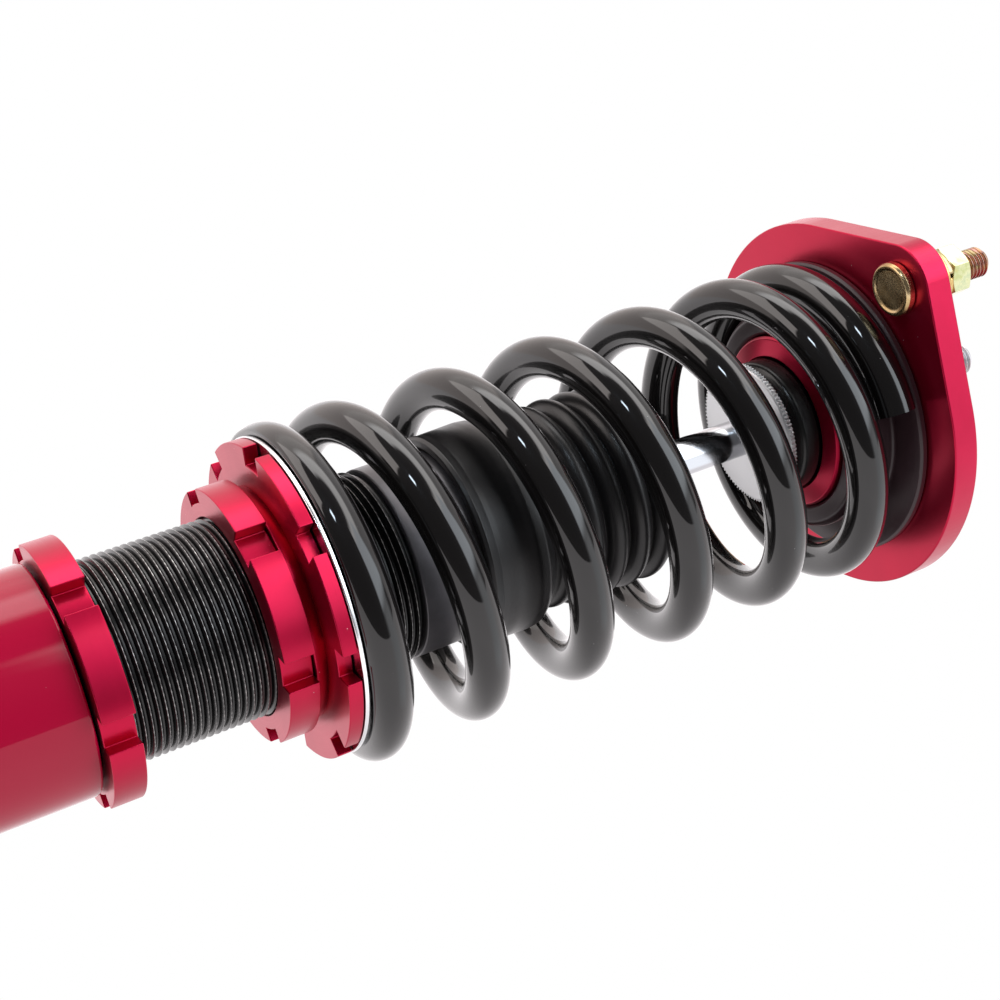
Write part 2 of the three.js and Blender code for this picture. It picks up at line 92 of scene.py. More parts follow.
@dataclass(frozen=True)
class Extent:
    """Where a CAD node stands along the damper's axis."""

    bottom: float
    top: float

    @classmethod
    def of(cls, node: str) -> "Extent":
        """Reads a CAD node's box.

        Args:
            node: the node's name.

        Returns:
            Its extent in millimetres.
        """
        low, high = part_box(node)
        return cls(low.z / MM, high.z / MM)

    @property
    def height(self) -> float:
        """The node's length along the axis."""
        return self.top - self.bottom


# ---- node trees ----


class NodeGraph:
    """A shader or geometry tree being built, with short calls that add and join nodes."""

    def __init__(self, tree: bpy.types.NodeTree) -> None:
        """Wraps a tree.

        Args:
            tree: the tree to add nodes to.
        """
        self.tree = tree

    def add(self, kind: str, inputs: dict | None = None, **settings) -> bpy.types.Node:
        """Adds a node.

        Args:
            kind: the node's type name.
            inputs: values or sockets for its inputs, by name or index.
            settings: the node's own properties.

        Returns:
            The new node.
        """
        node = self.tree.nodes.new(kind)
        for name, value in settings.items():
            setattr(node, name, value)
        for key, value in (inputs or {}).items():
            if isinstance(value, Socket):
                self.tree.links.new(value, node.inputs[key])
            else:
                node.inputs[key].default_value = value
        return node

    def math(self, operation: str, *values: float | Socket, clamp: bool = False) -> Socket:
        """Adds a Math node.

        Args:
            operation: the node's operation.
            values: its operands, numbers or sockets.
            clamp: whether the result is held between 0 and 1.

        Returns:
            The result's socket.
        """
        node = self.add("ShaderNodeMath", dict(enumerate(values)), operation=operation, use_clamp=clamp)
        return node.outputs[0]

    def vector_math(self, operation: str, *values: Sequence[float] | Socket) -> bpy.types.Node:
        """Adds a Vector Math node and returns it."""
        return self.add("ShaderNodeVectorMath", dict(enumerate(values)), operation=operation)

    def ramp(self, value: Socket, stops: Sequence[tuple[float, float]]) -> Socket:
        """Maps a value through two or more (value, level) stops.

        Args:
            value: the socket to map.
            stops: the value and the level it gives, in rising order.

        Returns:
            The mapped value's socket.
        """
        node = self.add("ShaderNodeFloatCurve", {"Value": value})
        curve = node.mapping.curves[0]
        for index, (place, level) in enumerate(stops):
            if index < 2:
                curve.points[index].location = (place, level)
            else:
                curve.points.new(place, level)
        for point in curve.points:
            point.handle_type = "VECTOR"
        node.mapping.update()
        return node.outputs[0]

    def smooth_step(self, value: Socket, low: float, high: float) -> Socket:
        """Zero at one value and one at another, with an eased step between them."""
        inputs = {"Value": value, "From Min": low, "From Max": high}
        return self.add("ShaderNodeMapRange", inputs, interpolation_type="SMOOTHSTEP").outputs[0]

    def mix(self, share: float | Socket, first: Sequence[float] | Socket, second: Sequence[float] | Socket) -> Socket:
        """Mixes two colours.

        Args:
            share: how much of the second colour shows.
            first: the colour at share 0.
            second: the colour at share 1.

        Returns:
            The mixed colour's socket.
        """
        node = self.add("ShaderNodeMix", data_type="RGBA")
        for key, value in ((0, share), (6, first), (7, second)):
            if isinstance(value, Socket):
                self.tree.links.new(value, node.inputs[key])
            else:
                node.inputs[key].default_value = value
        return node.outputs[2]


def rgb(red: float, green: float, blue: float) -> tuple[float, float, float, float]:
    """A linear colour with full alpha."""
    return (red, green, blue, 1.0)


# ---- finishes ----


@dataclass(frozen=True)
class Finish:
    """A finish: a material made once and shared by the pieces that wear it."""

    name: str
    slot: str

    def material(self) -> bpy.types.Material:
        """The finish's material, made on its first use."""
        found = bpy.data.materials.get(self.name)
        if found:
            return found
        made = bpy.data.materials.new(self.name)
        made.use_nodes = True
        made.node_tree.nodes.clear()
        graph = NodeGraph(made.node_tree)
        shader = self.shade(graph)
        graph.add("ShaderNodeOutputMaterial", {"Surface": shader.outputs[0]})
        return made

    def shade(self, graph: NodeGraph) -> bpy.types.Node:
        """Builds the finish's shader and returns it."""
        raise NotImplementedError

    def place(self, graph: NodeGraph) -> Socket:
        """The surface point in the piece's own frame."""
        return graph.add("ShaderNodeTexCoord").outputs["Object"]

    def noise(
        self, graph: NodeGraph, where: Socket, scale: float, detail: float = 2.0, rough: float = 0.5
    ) -> Socket:
        """A noise value.

        Args:
            graph: the tree to add it to.
            where: the coordinate it reads.
            scale: its frequency per unit of that coordinate.
            detail: how many octaves it has.
            rough: how strongly the finer octaves show.

        Returns:
            The noise factor's socket.
        """
        inputs = {"Vector": where, "Scale": scale, "Detail": detail, "Roughness": rough}
        return graph.add("ShaderNodeTexNoise", inputs).outputs[0]

    def lathe_coordinate(self, graph: NodeGraph, where: Socket, around: str = "Z") -> Socket:
        """A coordinate that is the same all the way round an axis, for marks left by turning.

        Args:
            graph: the tree to add it to.
            where: the surface point.
            around: the axis the piece was turned about.

        Returns:
            The (radius, height, 0) coordinate's socket.
        """
        split = graph.add("ShaderNodeSeparateXYZ", {0: where}).outputs
        across = {"Z": (split[0], split[1], split[2]), "Y": (split[0], split[2], split[1])}[around]
        squares = [graph.math("MULTIPLY", value, value) for value in across[:2]]
        radius = graph.math("SQRT", graph.math("ADD", *squares))
        return graph.add("ShaderNodeCombineXYZ", {0: radius, 1: across[2]}).outputs[0]

    def bump(self, graph: NodeGraph, height: Socket, depth: float, normal: Socket | None = None) -> Socket:
        """A bump normal.

        Args:
            graph: the tree to add it to.
            height: the height value, 0 to 1.
            depth: what a height of 1 stands for, in metres.
            normal: a bump that this one adds to.

        Returns:
            The normal's socket.
        """
        inputs = {"Strength": 1.0, "Distance": depth, "Height": height}
        if normal is not None:
            inputs["Normal"] = normal
        return graph.add("ShaderNodeBump", inputs).outputs[0]


class Marks(Enum):
    """The marks that a tool leaves on a metal surface."""

    TURNED = "Z"
    TURNED_ACROSS = "Y"
    MILLED_EDGE = "edge"
    GRAINED = "grain"


@dataclass(frozen=True)
class Metal(Finish):
    """Bare, plated or anodised metal with its tool marks, mottling and fine dust."""

    colour: tuple
    shade_colour: tuple
    roughness: float = 0.3
    spread: float = 0.08
    marks: Marks = Marks.TURNED
    mark_depth: float = 0.000004
    mark_pitch: float = 0.35
    mottle: float = 60.0
    coat: float = 0.0
    coat_roughness: float = 0.1
    dust: float = 0.0
    metallic: float = 1.0

    def tool_marks(self, graph: NodeGraph, where: Socket) -> Socket:
        """The height of the tool's marks, as a factor."""
        per_metre = 1 / (self.mark_pitch * MM)
        if self.marks is Marks.GRAINED:
            return self.noise(graph, where, per_metre, 3.0)
        if self.marks is Marks.MILLED_EDGE:
            split = graph.add("ShaderNodeSeparateXYZ", {0: where}).outputs
            flat = graph.add("ShaderNodeCombineXYZ", {0: split[0], 1: split[1]}).outputs[0]
            return self.noise(graph, flat, per_metre, 3.0)
        turned = self.lathe_coordinate(graph, where, self.marks.value)
        return self.noise(graph, turned, per_metre, 2.0)

    def shade(self, graph: NodeGraph) -> bpy.types.Node:
        """Builds the metal's shader."""
        where = self.place(graph)
        blotch = self.noise(graph, where, self.mottle, 4.0, 0.6)
        lines = self.tool_marks(graph, where)
        share = graph.ramp(blotch, [(0.3, 0.0), (0.7, 1.0)])
        colour = graph.mix(share, self.colour, self.shade_colour)
        wander = graph.math("MULTIPLY_ADD", graph.math("SUBTRACT", blotch, 0.5), self.spread, self.roughness)
        rough = graph.math("MULTIPLY_ADD", graph.math("SUBTRACT", lines, 0.5), self.spread, wander, clamp=True)
        if self.dust:
            specks = graph.add("ShaderNodeTexVoronoi", {"Vector": where, "Scale": 260.0}).outputs[0]
            shown = graph.math("LESS_THAN", specks, 0.035)
            kept = graph.math("MULTIPLY", shown, graph.math("GREATER_THAN", blotch, 0.52))
            dusted = graph.math("MULTIPLY", kept, self.dust)
            colour = graph.mix(dusted, colour, rgb(0.85, 0.78, 0.78))
            rough = graph.math("MULTIPLY_ADD", dusted, 0.4, rough, clamp=True)
        inputs = {
            "Base Color": colour,
            "Metallic": self.metallic,
            "Roughness": rough,
            "Coat Weight": self.coat,
            "Coat Roughness": self.coat_roughness,
            "Normal": self.bump(graph, lines, self.mark_depth),
        }
        return graph.add("ShaderNodeBsdfPrincipled", inputs)


@dataclass(frozen=True)
class Iridescent(Finish):
    """Passivated zinc plate, whose colour wanders between several tints."""

    tints: tuple
    roughness: float = 0.26
    scale: float = 110.0
    pits: float = 0.000012

    def shade(self, graph: NodeGraph) -> bpy.types.Node:
        """Builds the plated shader."""
        where = self.place(graph)
        cloud = self.noise(graph, where, self.scale, 3.0, 0.55)
        fine = self.noise(graph, where, self.scale * 7, 4.0, 0.7)
        value = graph.math("MULTIPLY_ADD", graph.math("SUBTRACT", fine, 0.5), 0.25, cloud)
        ramp = graph.add("ShaderNodeValToRGB", {"Fac": value})
        last = len(self.tints) - 1
        for index, tint in enumerate(self.tints):
            place = 0.34 + 0.32 * index / last
            stops = ramp.color_ramp.elements
            stop = stops[min(index, 1)] if index < 2 else stops.new(place)
            stop.position = place
            stop.color = tint
        rough = graph.math("MULTIPLY_ADD", fine, 0.22, self.roughness - 0.1, clamp=True)
        inputs = {
            "Base Color": ramp.outputs[0],
            "Metallic": 1.0,
            "Roughness": rough,
            "Normal": self.bump(graph, fine, self.pits),
        }
        return graph.add("ShaderNodeBsdfPrincipled", inputs)


@dataclass(frozen=True)
class GlossCoat(Finish):
    """Gloss paint or powder coat: a clear top over colour, with a slight ripple and stray dust."""

    colour: tuple
    shade_colour: tuple
    roughness: float = 0.25
    ripple: float = 0.000012
    ripple_scale: float = 170.0
    dust: float = 0.5
    coat_roughness: float = 0.025
    coat_ior: float = 1.5

    def shade(self, graph: NodeGraph) -> bpy.types.Node:
        """Builds the coated shader."""
        where = self.place(graph)
        ripple = self.noise(graph, where, self.ripple_scale, 1.5, 0.4)
        cloud = self.noise(graph, where, 35.0, 3.0)
        specks = graph.add("ShaderNodeTexVoronoi", {"Vector": where, "Scale": 330.0}).outputs[0]
        patch = graph.ramp(self.noise(graph, where, 22.0, 2.0), [(0.52, 0.0), (0.62, 1.0)])
        shown = graph.math("MULTIPLY", graph.math("LESS_THAN", specks, 0.045), patch)
        dusted = graph.math("MULTIPLY", shown, self.dust)
        colour = graph.mix(cloud, self.colour, self.shade_colour)
        inputs = {
            "Base Color": graph.mix(dusted, colour, rgb(0.6, 0.58, 0.58)),
            "Metallic": 0.0,
            "Roughness": graph.math("MULTIPLY_ADD", cloud, 0.1, self.roughness),
            "Specular IOR Level": 0.05,
            "Coat Weight": 1.0,
            "Coat Roughness": self.coat_roughness,
            "Coat IOR": self.coat_ior,
            "Coat Normal": self.bump(graph, ripple, self.ripple),
            "Normal": self.bump(graph, ripple, self.ripple * 0.5),
        }
        return graph.add("ShaderNodeBsdfPrincipled", inputs)


@dataclass(frozen=True)
class Rubber(Finish):
    """Moulded rubber or urethane, satin where it has been handled."""

    colour: tuple = rgb(0.006, 0.0055, 0.006)
    bloom: tuple = rgb(0.014, 0.013, 0.0135)
    roughness: float = 0.4
    spread: float = 0.22
    grain: float = 0.000018

    def shade(self, graph: NodeGraph) -> bpy.types.Node:
        """Builds the rubber shader."""
        where = self.place(graph)
        smear = self.noise(graph, where, 45.0, 5.0, 0.65)
        pebble = self.noise(graph, where, 1500.0, 2.0, 0.6)
        turned = self.lathe_coordinate(graph, where)
        rub_marks_and_crest_glint = self.noise(graph, turned, 420.0, 3.0, 0.6)
        handled = graph.math("MULTIPLY", smear, rub_marks_and_crest_glint)
        share = graph.ramp(handled, [(0.15, 0.0), (0.45, 1.0)])
        rough = graph.math("MULTIPLY_ADD", share, self.spread, self.roughness - self.spread / 2, clamp=True)
        inputs = {
            "Base Color": graph.mix(share, self.colour, self.bloom),
            "Metallic": 0.0,
            "Roughness": rough,
            "Specular IOR Level": 0.35,
            "Normal": self.bump(graph, pebble, self.grain),
        }
        return graph.add("ShaderNodeBsdfPrincipled", inputs)


@dataclass(frozen=True)
class BlackSteel(Finish):
    """Black-finished steel thread, with a painted highlight: its crests are coloured as lighter bare metal, standing
    in for the glints along them.
    """

    crest_radius: float = 26.5
    colour: tuple = rgb(0.003, 0.003, 0.0032)
    # painted highlight: the light metal colour that the thread's crests get, in place of the glints along them
    crest_glint_colour: tuple = rgb(0.34, 0.33, 0.32)
    roughness: float = 0.16

    def shade(self, graph: NodeGraph) -> bpy.types.Node:
        """Builds the blackened shader."""
        where = self.place(graph)
        turned = self.lathe_coordinate(graph, where)
        radius = graph.add("ShaderNodeSeparateXYZ", {0: turned}).outputs[0]
        scratch = self.noise(graph, where, 260.0, 5.0, 0.7)
        top = graph.add(
            "ShaderNodeMapRange",
            {
                "Value": radius,
                "From Min": (self.crest_radius - 0.03) * MM,
                "From Max": (self.crest_radius - 0.01) * MM,
            },
        ).outputs[0]
        # painted highlight: the crests, patchy along their length, get the light metal colour and more metallic,
        # standing in for their glints
        rub_marks_and_crest_glint = graph.math("MULTIPLY", top, graph.ramp(scratch, [(0.35, 0.25), (0.62, 1.0)]))
        inputs = {
            "Base Color": graph.mix(rub_marks_and_crest_glint, self.colour, self.crest_glint_colour),
            "Metallic": graph.math("MULTIPLY", rub_marks_and_crest_glint, 0.8),
            "Roughness": graph.math("MULTIPLY_ADD", scratch, 0.14, self.roughness),
            "Specular IOR Level": 0.4,
            "Normal": self.bump(graph, scratch, 0.00001),
        }
        return graph.add("ShaderNodeBsdfPrincipled", inputs)


class Finishes:
    """The finishes that the coilover's pieces wear."""

    plate_red = Metal(
        "anodised_plate_red", "red_anodised", rgb(0.43, 0.003, 0.034), rgb(0.38, 0.002, 0.03), 0.3, 0.05,
        Marks.GRAINED, 0.000003, 0.5,
        mottle=30.0, coat=0.12, coat_roughness=0.2, dust=0.6, metallic=0.9,
    )
    plate_edge_red = Metal(
        "anodised_edge_red", "red_anodised", rgb(0.46, 0.005, 0.045), rgb(0.39, 0.003, 0.036), 0.32, 0.12,
        Marks.MILLED_EDGE, 0.000006, 0.9,
        mottle=40.0, coat=0.15, coat_roughness=0.16, metallic=0.9,
    )
    ring_red = Metal(
        "anodised_ring_red", "red_anodised", rgb(0.45, 0.003, 0.038), rgb(0.38, 0.002, 0.032), 0.32, 0.08,
        Marks.TURNED, 0.0000035, 0.45,
        mottle=45.0, coat=0.12, coat_roughness=0.18, dust=0.5, metallic=0.9,
    )
    tube_red = GlossCoat(
        "gloss_bracket_red", "red_paint", rgb(0.33, 0.0006, 0.026), rgb(0.29, 0.0005, 0.022), 0.3,
        ripple=0.000007, ripple_scale=120.0, dust=0.5, coat_roughness=0.03, coat_ior=1.32,
    )
    spring_black = GlossCoat(
        "gloss_spring_black", "spring_coat", rgb(0.003, 0.0026, 0.0027), rgb(0.004, 0.0034, 0.0034), 0.3,
        ripple=0.000006, ripple_scale=150.0, dust=0.35, coat_roughness=0.02, coat_ior=1.5,
    )
    thread_black = BlackSteel("blackened_thread", "black_thread")
    gland_black = Metal(
        "blackened_gland", "black_thread", rgb(0.085, 0.08, 0.087), rgb(0.06, 0.057, 0.062), 0.34, 0.1,
        Marks.GRAINED, 0.000008, 0.8, mottle=120.0, metallic=0.5,
    )
    boot_rubber = Rubber("boot_rubber", "rubber")
    bush_rubber = Rubber("bush_rubber", "rubber", rgb(0.004, 0.004, 0.004), rgb(0.008, 0.0077, 0.0077), 0.34)
    pad_rubber = Rubber("spring_pad_rubber", "rubber", rgb(0.034, 0.017, 0.021), rgb(0.052, 0.028, 0.033), 0.4)
    urethane = Rubber("bump_stop_urethane", "urethane", rgb(0.5, 0.33, 0.1), rgb(0.62, 0.44, 0.16), 0.5)
    chrome = Metal(
        "hard_chrome", "chrome", rgb(0.56, 0.57, 0.6), rgb(0.52, 0.53, 0.56), 0.09, 0.05,
        Marks.TURNED, 0.0000012, 0.12, mottle=70.0,
    )
    cup_zinc = Iridescent(
        "bright_zinc", "bright_zinc",
        (rgb(0.3, 0.325, 0.33), rgb(0.4, 0.425, 0.43), rgb(0.47, 0.49, 0.485), rgb(0.35, 0.385, 0.39)), 0.4, 160.0,
    )
    washer_bright = Metal(
        "bright_washer", "bright_zinc", rgb(0.82, 0.83, 0.84), rgb(0.74, 0.75, 0.77), 0.16, 0.08,
        Marks.TURNED, 0.000003, 0.3, mottle=80.0,
    )
    nut_zinc = Iridescent(
        "yellow_zinc_nut", "yellow_zinc",
        (rgb(0.5, 0.42, 0.17), rgb(0.44, 0.46, 0.22), rgb(0.56, 0.55, 0.33), rgb(0.42, 0.47, 0.29)), 0.2, 130.0,
    )
    washer_zinc = Iridescent(
        "yellow_zinc_washer", "yellow_zinc",
        (rgb(0.46, 0.29, 0.09), rgb(0.55, 0.37, 0.14), rgb(0.5, 0.43, 0.21), rgb(0.56, 0.35, 0.21)), 0.22, 140.0,
    )
    stud_zinc = Iridescent(
        "yellow_zinc_stud", "yellow_zinc",
        (rgb(0.33, 0.17, 0.1), rgb(0.4, 0.25, 0.14), rgb(0.4, 0.21, 0.19), rgb(0.36, 0.29, 0.16)), 0.22, 200.0,
    )
    head_zinc = Iridescent(
        "yellow_zinc_head", "yellow_zinc",
        (rgb(0.36, 0.24, 0.11), rgb(0.5, 0.36, 0.18), rgb(0.6, 0.46, 0.26), rgb(0.45, 0.31, 0.16)), 0.24, 120.0,
    )
    steel = Metal("turned_steel", "steel", rgb(0.5, 0.5, 0.51), rgb(0.43, 0.43, 0.45), 0.32)
    sleeve_steel = Metal(
        "turned_sleeve_steel", "steel", rgb(0.56, 0.56, 0.57), rgb(0.47, 0.47, 0.49), 0.26, 0.1,
        Marks.TURNED_ACROSS, 0.000005, 0.3,
    )
    aluminium = Metal("turned_aluminium", "aluminium", rgb(0.68, 0.69, 0.7), rgb(0.6, 0.61, 0.62), 0.3)
    bronze = Metal("sintered_bronze", "bronze", rgb(0.45, 0.31, 0.15), rgb(0.36, 0.25, 0.12), 0.4)


# ---- mesh building ----


def rounded(corners: Sequence[Corner], segments: int = 4) -> list[tuple[float, float]]:
    """Rounds the corners of a closed outline.

    Args:
        corners: (x, y) or (x, y, fillet radius) for each corner.
        segments: how many steps each fillet has.

    Returns:
        The outline's points.
    """
    points: list[tuple[float, float]] = []
    for index, corner in enumerate(corners):
        here = Vector(corner[:2])
        fillet = corner[2] if len(corner) > 2 else 0.0
        before = Vector(corners[index - 1][:2]) - here
        after = Vector(corners[(index + 1) % len(corners)][:2]) - here
        if fillet <= 0 or before.length == 0 or after.length == 0:
            points.append(tuple(here))
            continue
        half = before.angle(after) / 2
        reach = min(fillet / math.tan(half), before.length * 0.49, after.length * 0.49)
        radius = reach * math.tan(half)
        middle = before.normalized() + after.normalized()
        if middle.length < 1e-6:
            points.append(tuple(here))
            continue
        centre = here + middle.normalized() * (radius / math.sin(half))
        start = here + before.normalized() * reach - centre
        end = here + after.normalized() * reach - centre
        first = math.atan2(start.y, start.x)
        sweep = math.remainder(math.atan2(end.y, end.x) - first, 2 * math.pi)
        for step in range(segments + 1):
            angle = first + sweep * step / segments
            points.append((centre.x + radius * math.cos(angle), centre.y + radius * math.sin(angle)))
    return points


def ring_corners(
    bore: float, outer: float, bottom: float, top: float, bore_edge: float, low_edge: float, high_edge: float
) -> list[Corner]:
    """The profile of a plain ring.

    Args:
        bore: its inner radius.
        outer: its outer radius.
        bottom: its lower side.
        top: its upper side.
        bore_edge: the rounding of its bore's edges.
        low_edge: the rounding of its outer lower edge.
        high_edge: the rounding of its outer upper edge.

    Returns:
        The profile's corners.
    """
    return [(bore, bottom, bore_edge), (outer, bottom, low_edge), (outer, top, high_edge), (bore, top, bore_edge)]


def to_object(name: str, build: bmesh.types.BMesh, scale: float = MM) -> bpy.types.Object:
    """Turns a bmesh in millimetres into a smooth-shaded object with its faces outwards.

    Args:
        name: the object's name.
        build: the mesh, which is freed.
        scale: metres for each of its units.

    Returns:
        The object, at the origin.
    """
    bmesh.ops.recalc_face_normals(build, faces=build.faces)
    bmesh.ops.scale(build, vec=(scale,) * 3, verts=build.verts)
    mesh = bpy.data.meshes.new(name)
    build.to_mesh(mesh)
    build.free()
    mesh.shade_smooth()
    made = bpy.data.objects.new(name, mesh)
    bpy.context.scene.collection.objects.link(made)
    return made


def baked(piece: bpy.types.Object) -> bpy.types.Object:
    """Applies a piece's modifiers to its mesh.

    Args:
        piece: the piece, with its modifiers live.

    Returns:
        The same piece, with a plain mesh and no modifiers.
    """
    graph = bpy.context.evaluated_depsgraph_get()
    mesh = bpy.data.meshes.new_from_object(
        piece.evaluated_get(graph), preserve_all_data_layers=True, depsgraph=graph
    )
    mesh.name = piece.name
    piece.modifiers.clear()
    piece.data = mesh
    return piece


def weighted(piece: bpy.types.Object) -> bpy.types.Object:
    """Leans a piece's normals towards its larger faces, so that flats stay flat, and applies it."""
    modifier = piece.modifiers.new("weighted", "WEIGHTED_NORMAL")
    modifier.weight = 60
    modifier.keep_sharp = True
    return baked(piece)


def bevelled(piece: bpy.types.Object, width: float, segments: int = 3, angle: float = 32.0) -> bpy.types.Object:
    """Rounds a piece's sharp edges and applies it.

    Args:
        piece: the piece to bevel.
        width: the bevel's width.
        segments: how many steps it has.
        angle: edges sharper than this are bevelled, in degrees.

    Returns:
        The same piece.
    """
    modifier = piece.modifiers.new("bevel", "BEVEL")
    modifier.width = width * MM
    modifier.segments = segments
    modifier.limit_method = "ANGLE"
    modifier.angle_limit = math.radians(angle)
    modifier.harden_normals = True
    modifier.use_clamp_overlap = True
    return baked(piece)


def is_level(mesh: bpy.types.Mesh, face: bpy.types.MeshPolygon) -> bool:
    """Whether a face lies level, even one too thin to have a sure normal."""
    heights = [mesh.vertices[vertex].co.z for vertex in face.vertices]
    return max(heights) - min(heights) < 1e-6


def flat_faced(piece: bpy.types.Object) -> None:
    """Turns every corner of a level face exactly up or down, so that long thin triangles leave no lines.

    Args:
        piece: the piece, with its bevels applied.
    """
    mesh = piece.data
    middle = sum(vertex.co.z for vertex in mesh.vertices) / len(mesh.vertices)
    normals = [corner.vector.copy() for corner in mesh.corner_normals]
    for face in mesh.polygons:
        if is_level(mesh, face):
            side = math.copysign(1.0, mesh.vertices[face.vertices[0]].co.z - middle)
            for corner in face.loop_indices:
                normals[corner] = Vector((0.0, 0.0, side))
    mesh.normals_split_custom_set(normals)


def joined(piece: bpy.types.Object, other: bpy.types.Object) -> bpy.types.Object:
    """Joins a piece and another into one solid.

    Args:
        piece: the piece that stays.
        other: the piece that is used up.

    Returns:
        The first piece.
    """
    modifier = piece.modifiers.new("join", "BOOLEAN")
    modifier.object = other
    modifier.operation = "UNION"
    modifier.solver = "EXACT"
    baked(piece)
    piece.data.materials.clear()
    bpy.data.objects.remove(other)
    return piece


def merged(piece: bpy.types.Object, *others: bpy.types.Object) -> bpy.types.Object:
    """Puts the meshes of several objects into the first one.

    Args:
        piece: the object that stays.
        others: objects whose meshes are added to it, and which are removed.

    Returns:
        The first object.
    """
    with bpy.context.temp_override(
        active_object=piece, object=piece, selected_objects=[piece, *others],
        selected_editable_objects=[piece, *others],
    ):
        bpy.ops.object.join()
    return piece


def turned(
    name: str, corners: Sequence[Corner], sides: int = 128, segments: int = 4, across: bool = False,
    centre: Sequence[float] = (0.0, 0.0, 0.0), smooth_only: bool = False,
) -> bpy.types.Object:
    """Turns a profile about the damper's axis, or about a line along Y.

    Args:
        name: the object's name.
        corners: (radius, height) or (radius, height, fillet) anticlockwise; radius 0 at both ends closes it.
        sides: how many sides it has.
        segments: how many steps each fillet has.
        across: whether it is turned about Y instead of Z.
        centre: where its axis and zero height are.
        smooth_only: whether the plain smooth normals are kept.

    Returns:
        The turned piece.
    """
    profile = rounded(corners, segments)
    build = bmesh.new()
    loops: list[list[bmesh.types.BMVert]] = []
    for radius, height in profile:
        count = 1 if radius < 1e-6 else sides
        loop = []
        for side in range(count):
            angle = 2 * math.pi * side / sides
            x, y = radius * math.cos(angle), radius * math.sin(angle)
            point = (x, -height, y) if across else (x, y, height)
            loop.append(build.verts.new(Vector(point) + Vector(centre)))
        loops.append(loop)
    on_axis = len(loops[0]) == 1
    for index in range(len(loops) - 1 if on_axis else len(loops)):
        low, high = loops[index], loops[(index + 1) % len(loops)]
        for side in range(sides):
            after = (side + 1) % sides
            ring = [low[side % len(low)], low[after % len(low)], high[after % len(high)], high[side % len(high)]]
            face = list(dict.fromkeys(ring))
            if len(face) > 2:
                build.faces.new(face)
    made = to_object(name, build)
    return made if smooth_only else weighted(made)


def prism(name: str, loops: Sequence[Sequence[Sequence[float]]], bottom: float, top: float) -> bpy.types.Object:
    """A flat plate with holes through it.

    Args:
        name: the object's name.
        loops: the outline's points, and then those of each hole.
        bottom: its underside's height.
        top: its upper side's height.

    Returns:
        The plate.
    """
    build = bmesh.new()
    edges = []
    for loop in loops:
        ring = [build.verts.new((x, y, (bottom + top) / 2)) for x, y in loop]
        edges += [build.edges.new(ends) for ends in zip(ring, ring[1:] + ring[:1])]
    bmesh.ops.triangle_fill(build, edges=edges, use_beauty=True, normal=(0, 0, 1))
    bmesh.ops.dissolve_limit(build, angle_limit=0.01, verts=build.verts, edges=build.edges)
    plate = to_object(name, build)
    modifier = plate.modifiers.new("thickness", "SOLIDIFY")
    modifier.thickness = (top - bottom) * MM
    modifier.offset = 0
    return baked(plate)


def polar(radius: float, angle: float) -> tuple[float, float]:
    """The point at a radius and an angle in radians."""
    return (radius * math.cos(angle), radius * math.sin(angle))


def finished(
    piece: bpy.types.Object, body: Body, finish: Finish, replaces: Sequence[str]
) -> bpy.types.Object:
    """Dresses a piece, hangs it on its body and hides the CAD nodes it stands for.

    Args:
        piece: the finished mesh.
        body: the body that it moves with.
        finish: what it wears.
        replaces: the CAD nodes that it stands for.

    Returns:
        The same piece.
    """
    if not any(piece.data.materials):
        piece.data.materials.clear()
        piece.data.materials.append(finish.material())
    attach(piece, body.value)
    if replaces:
        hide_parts(*replaces)
    LOG.info("%s rides %s, %d faces", piece.name, body.value, len(piece.data.polygons))
    return piece


# ---- geometry node trees ----


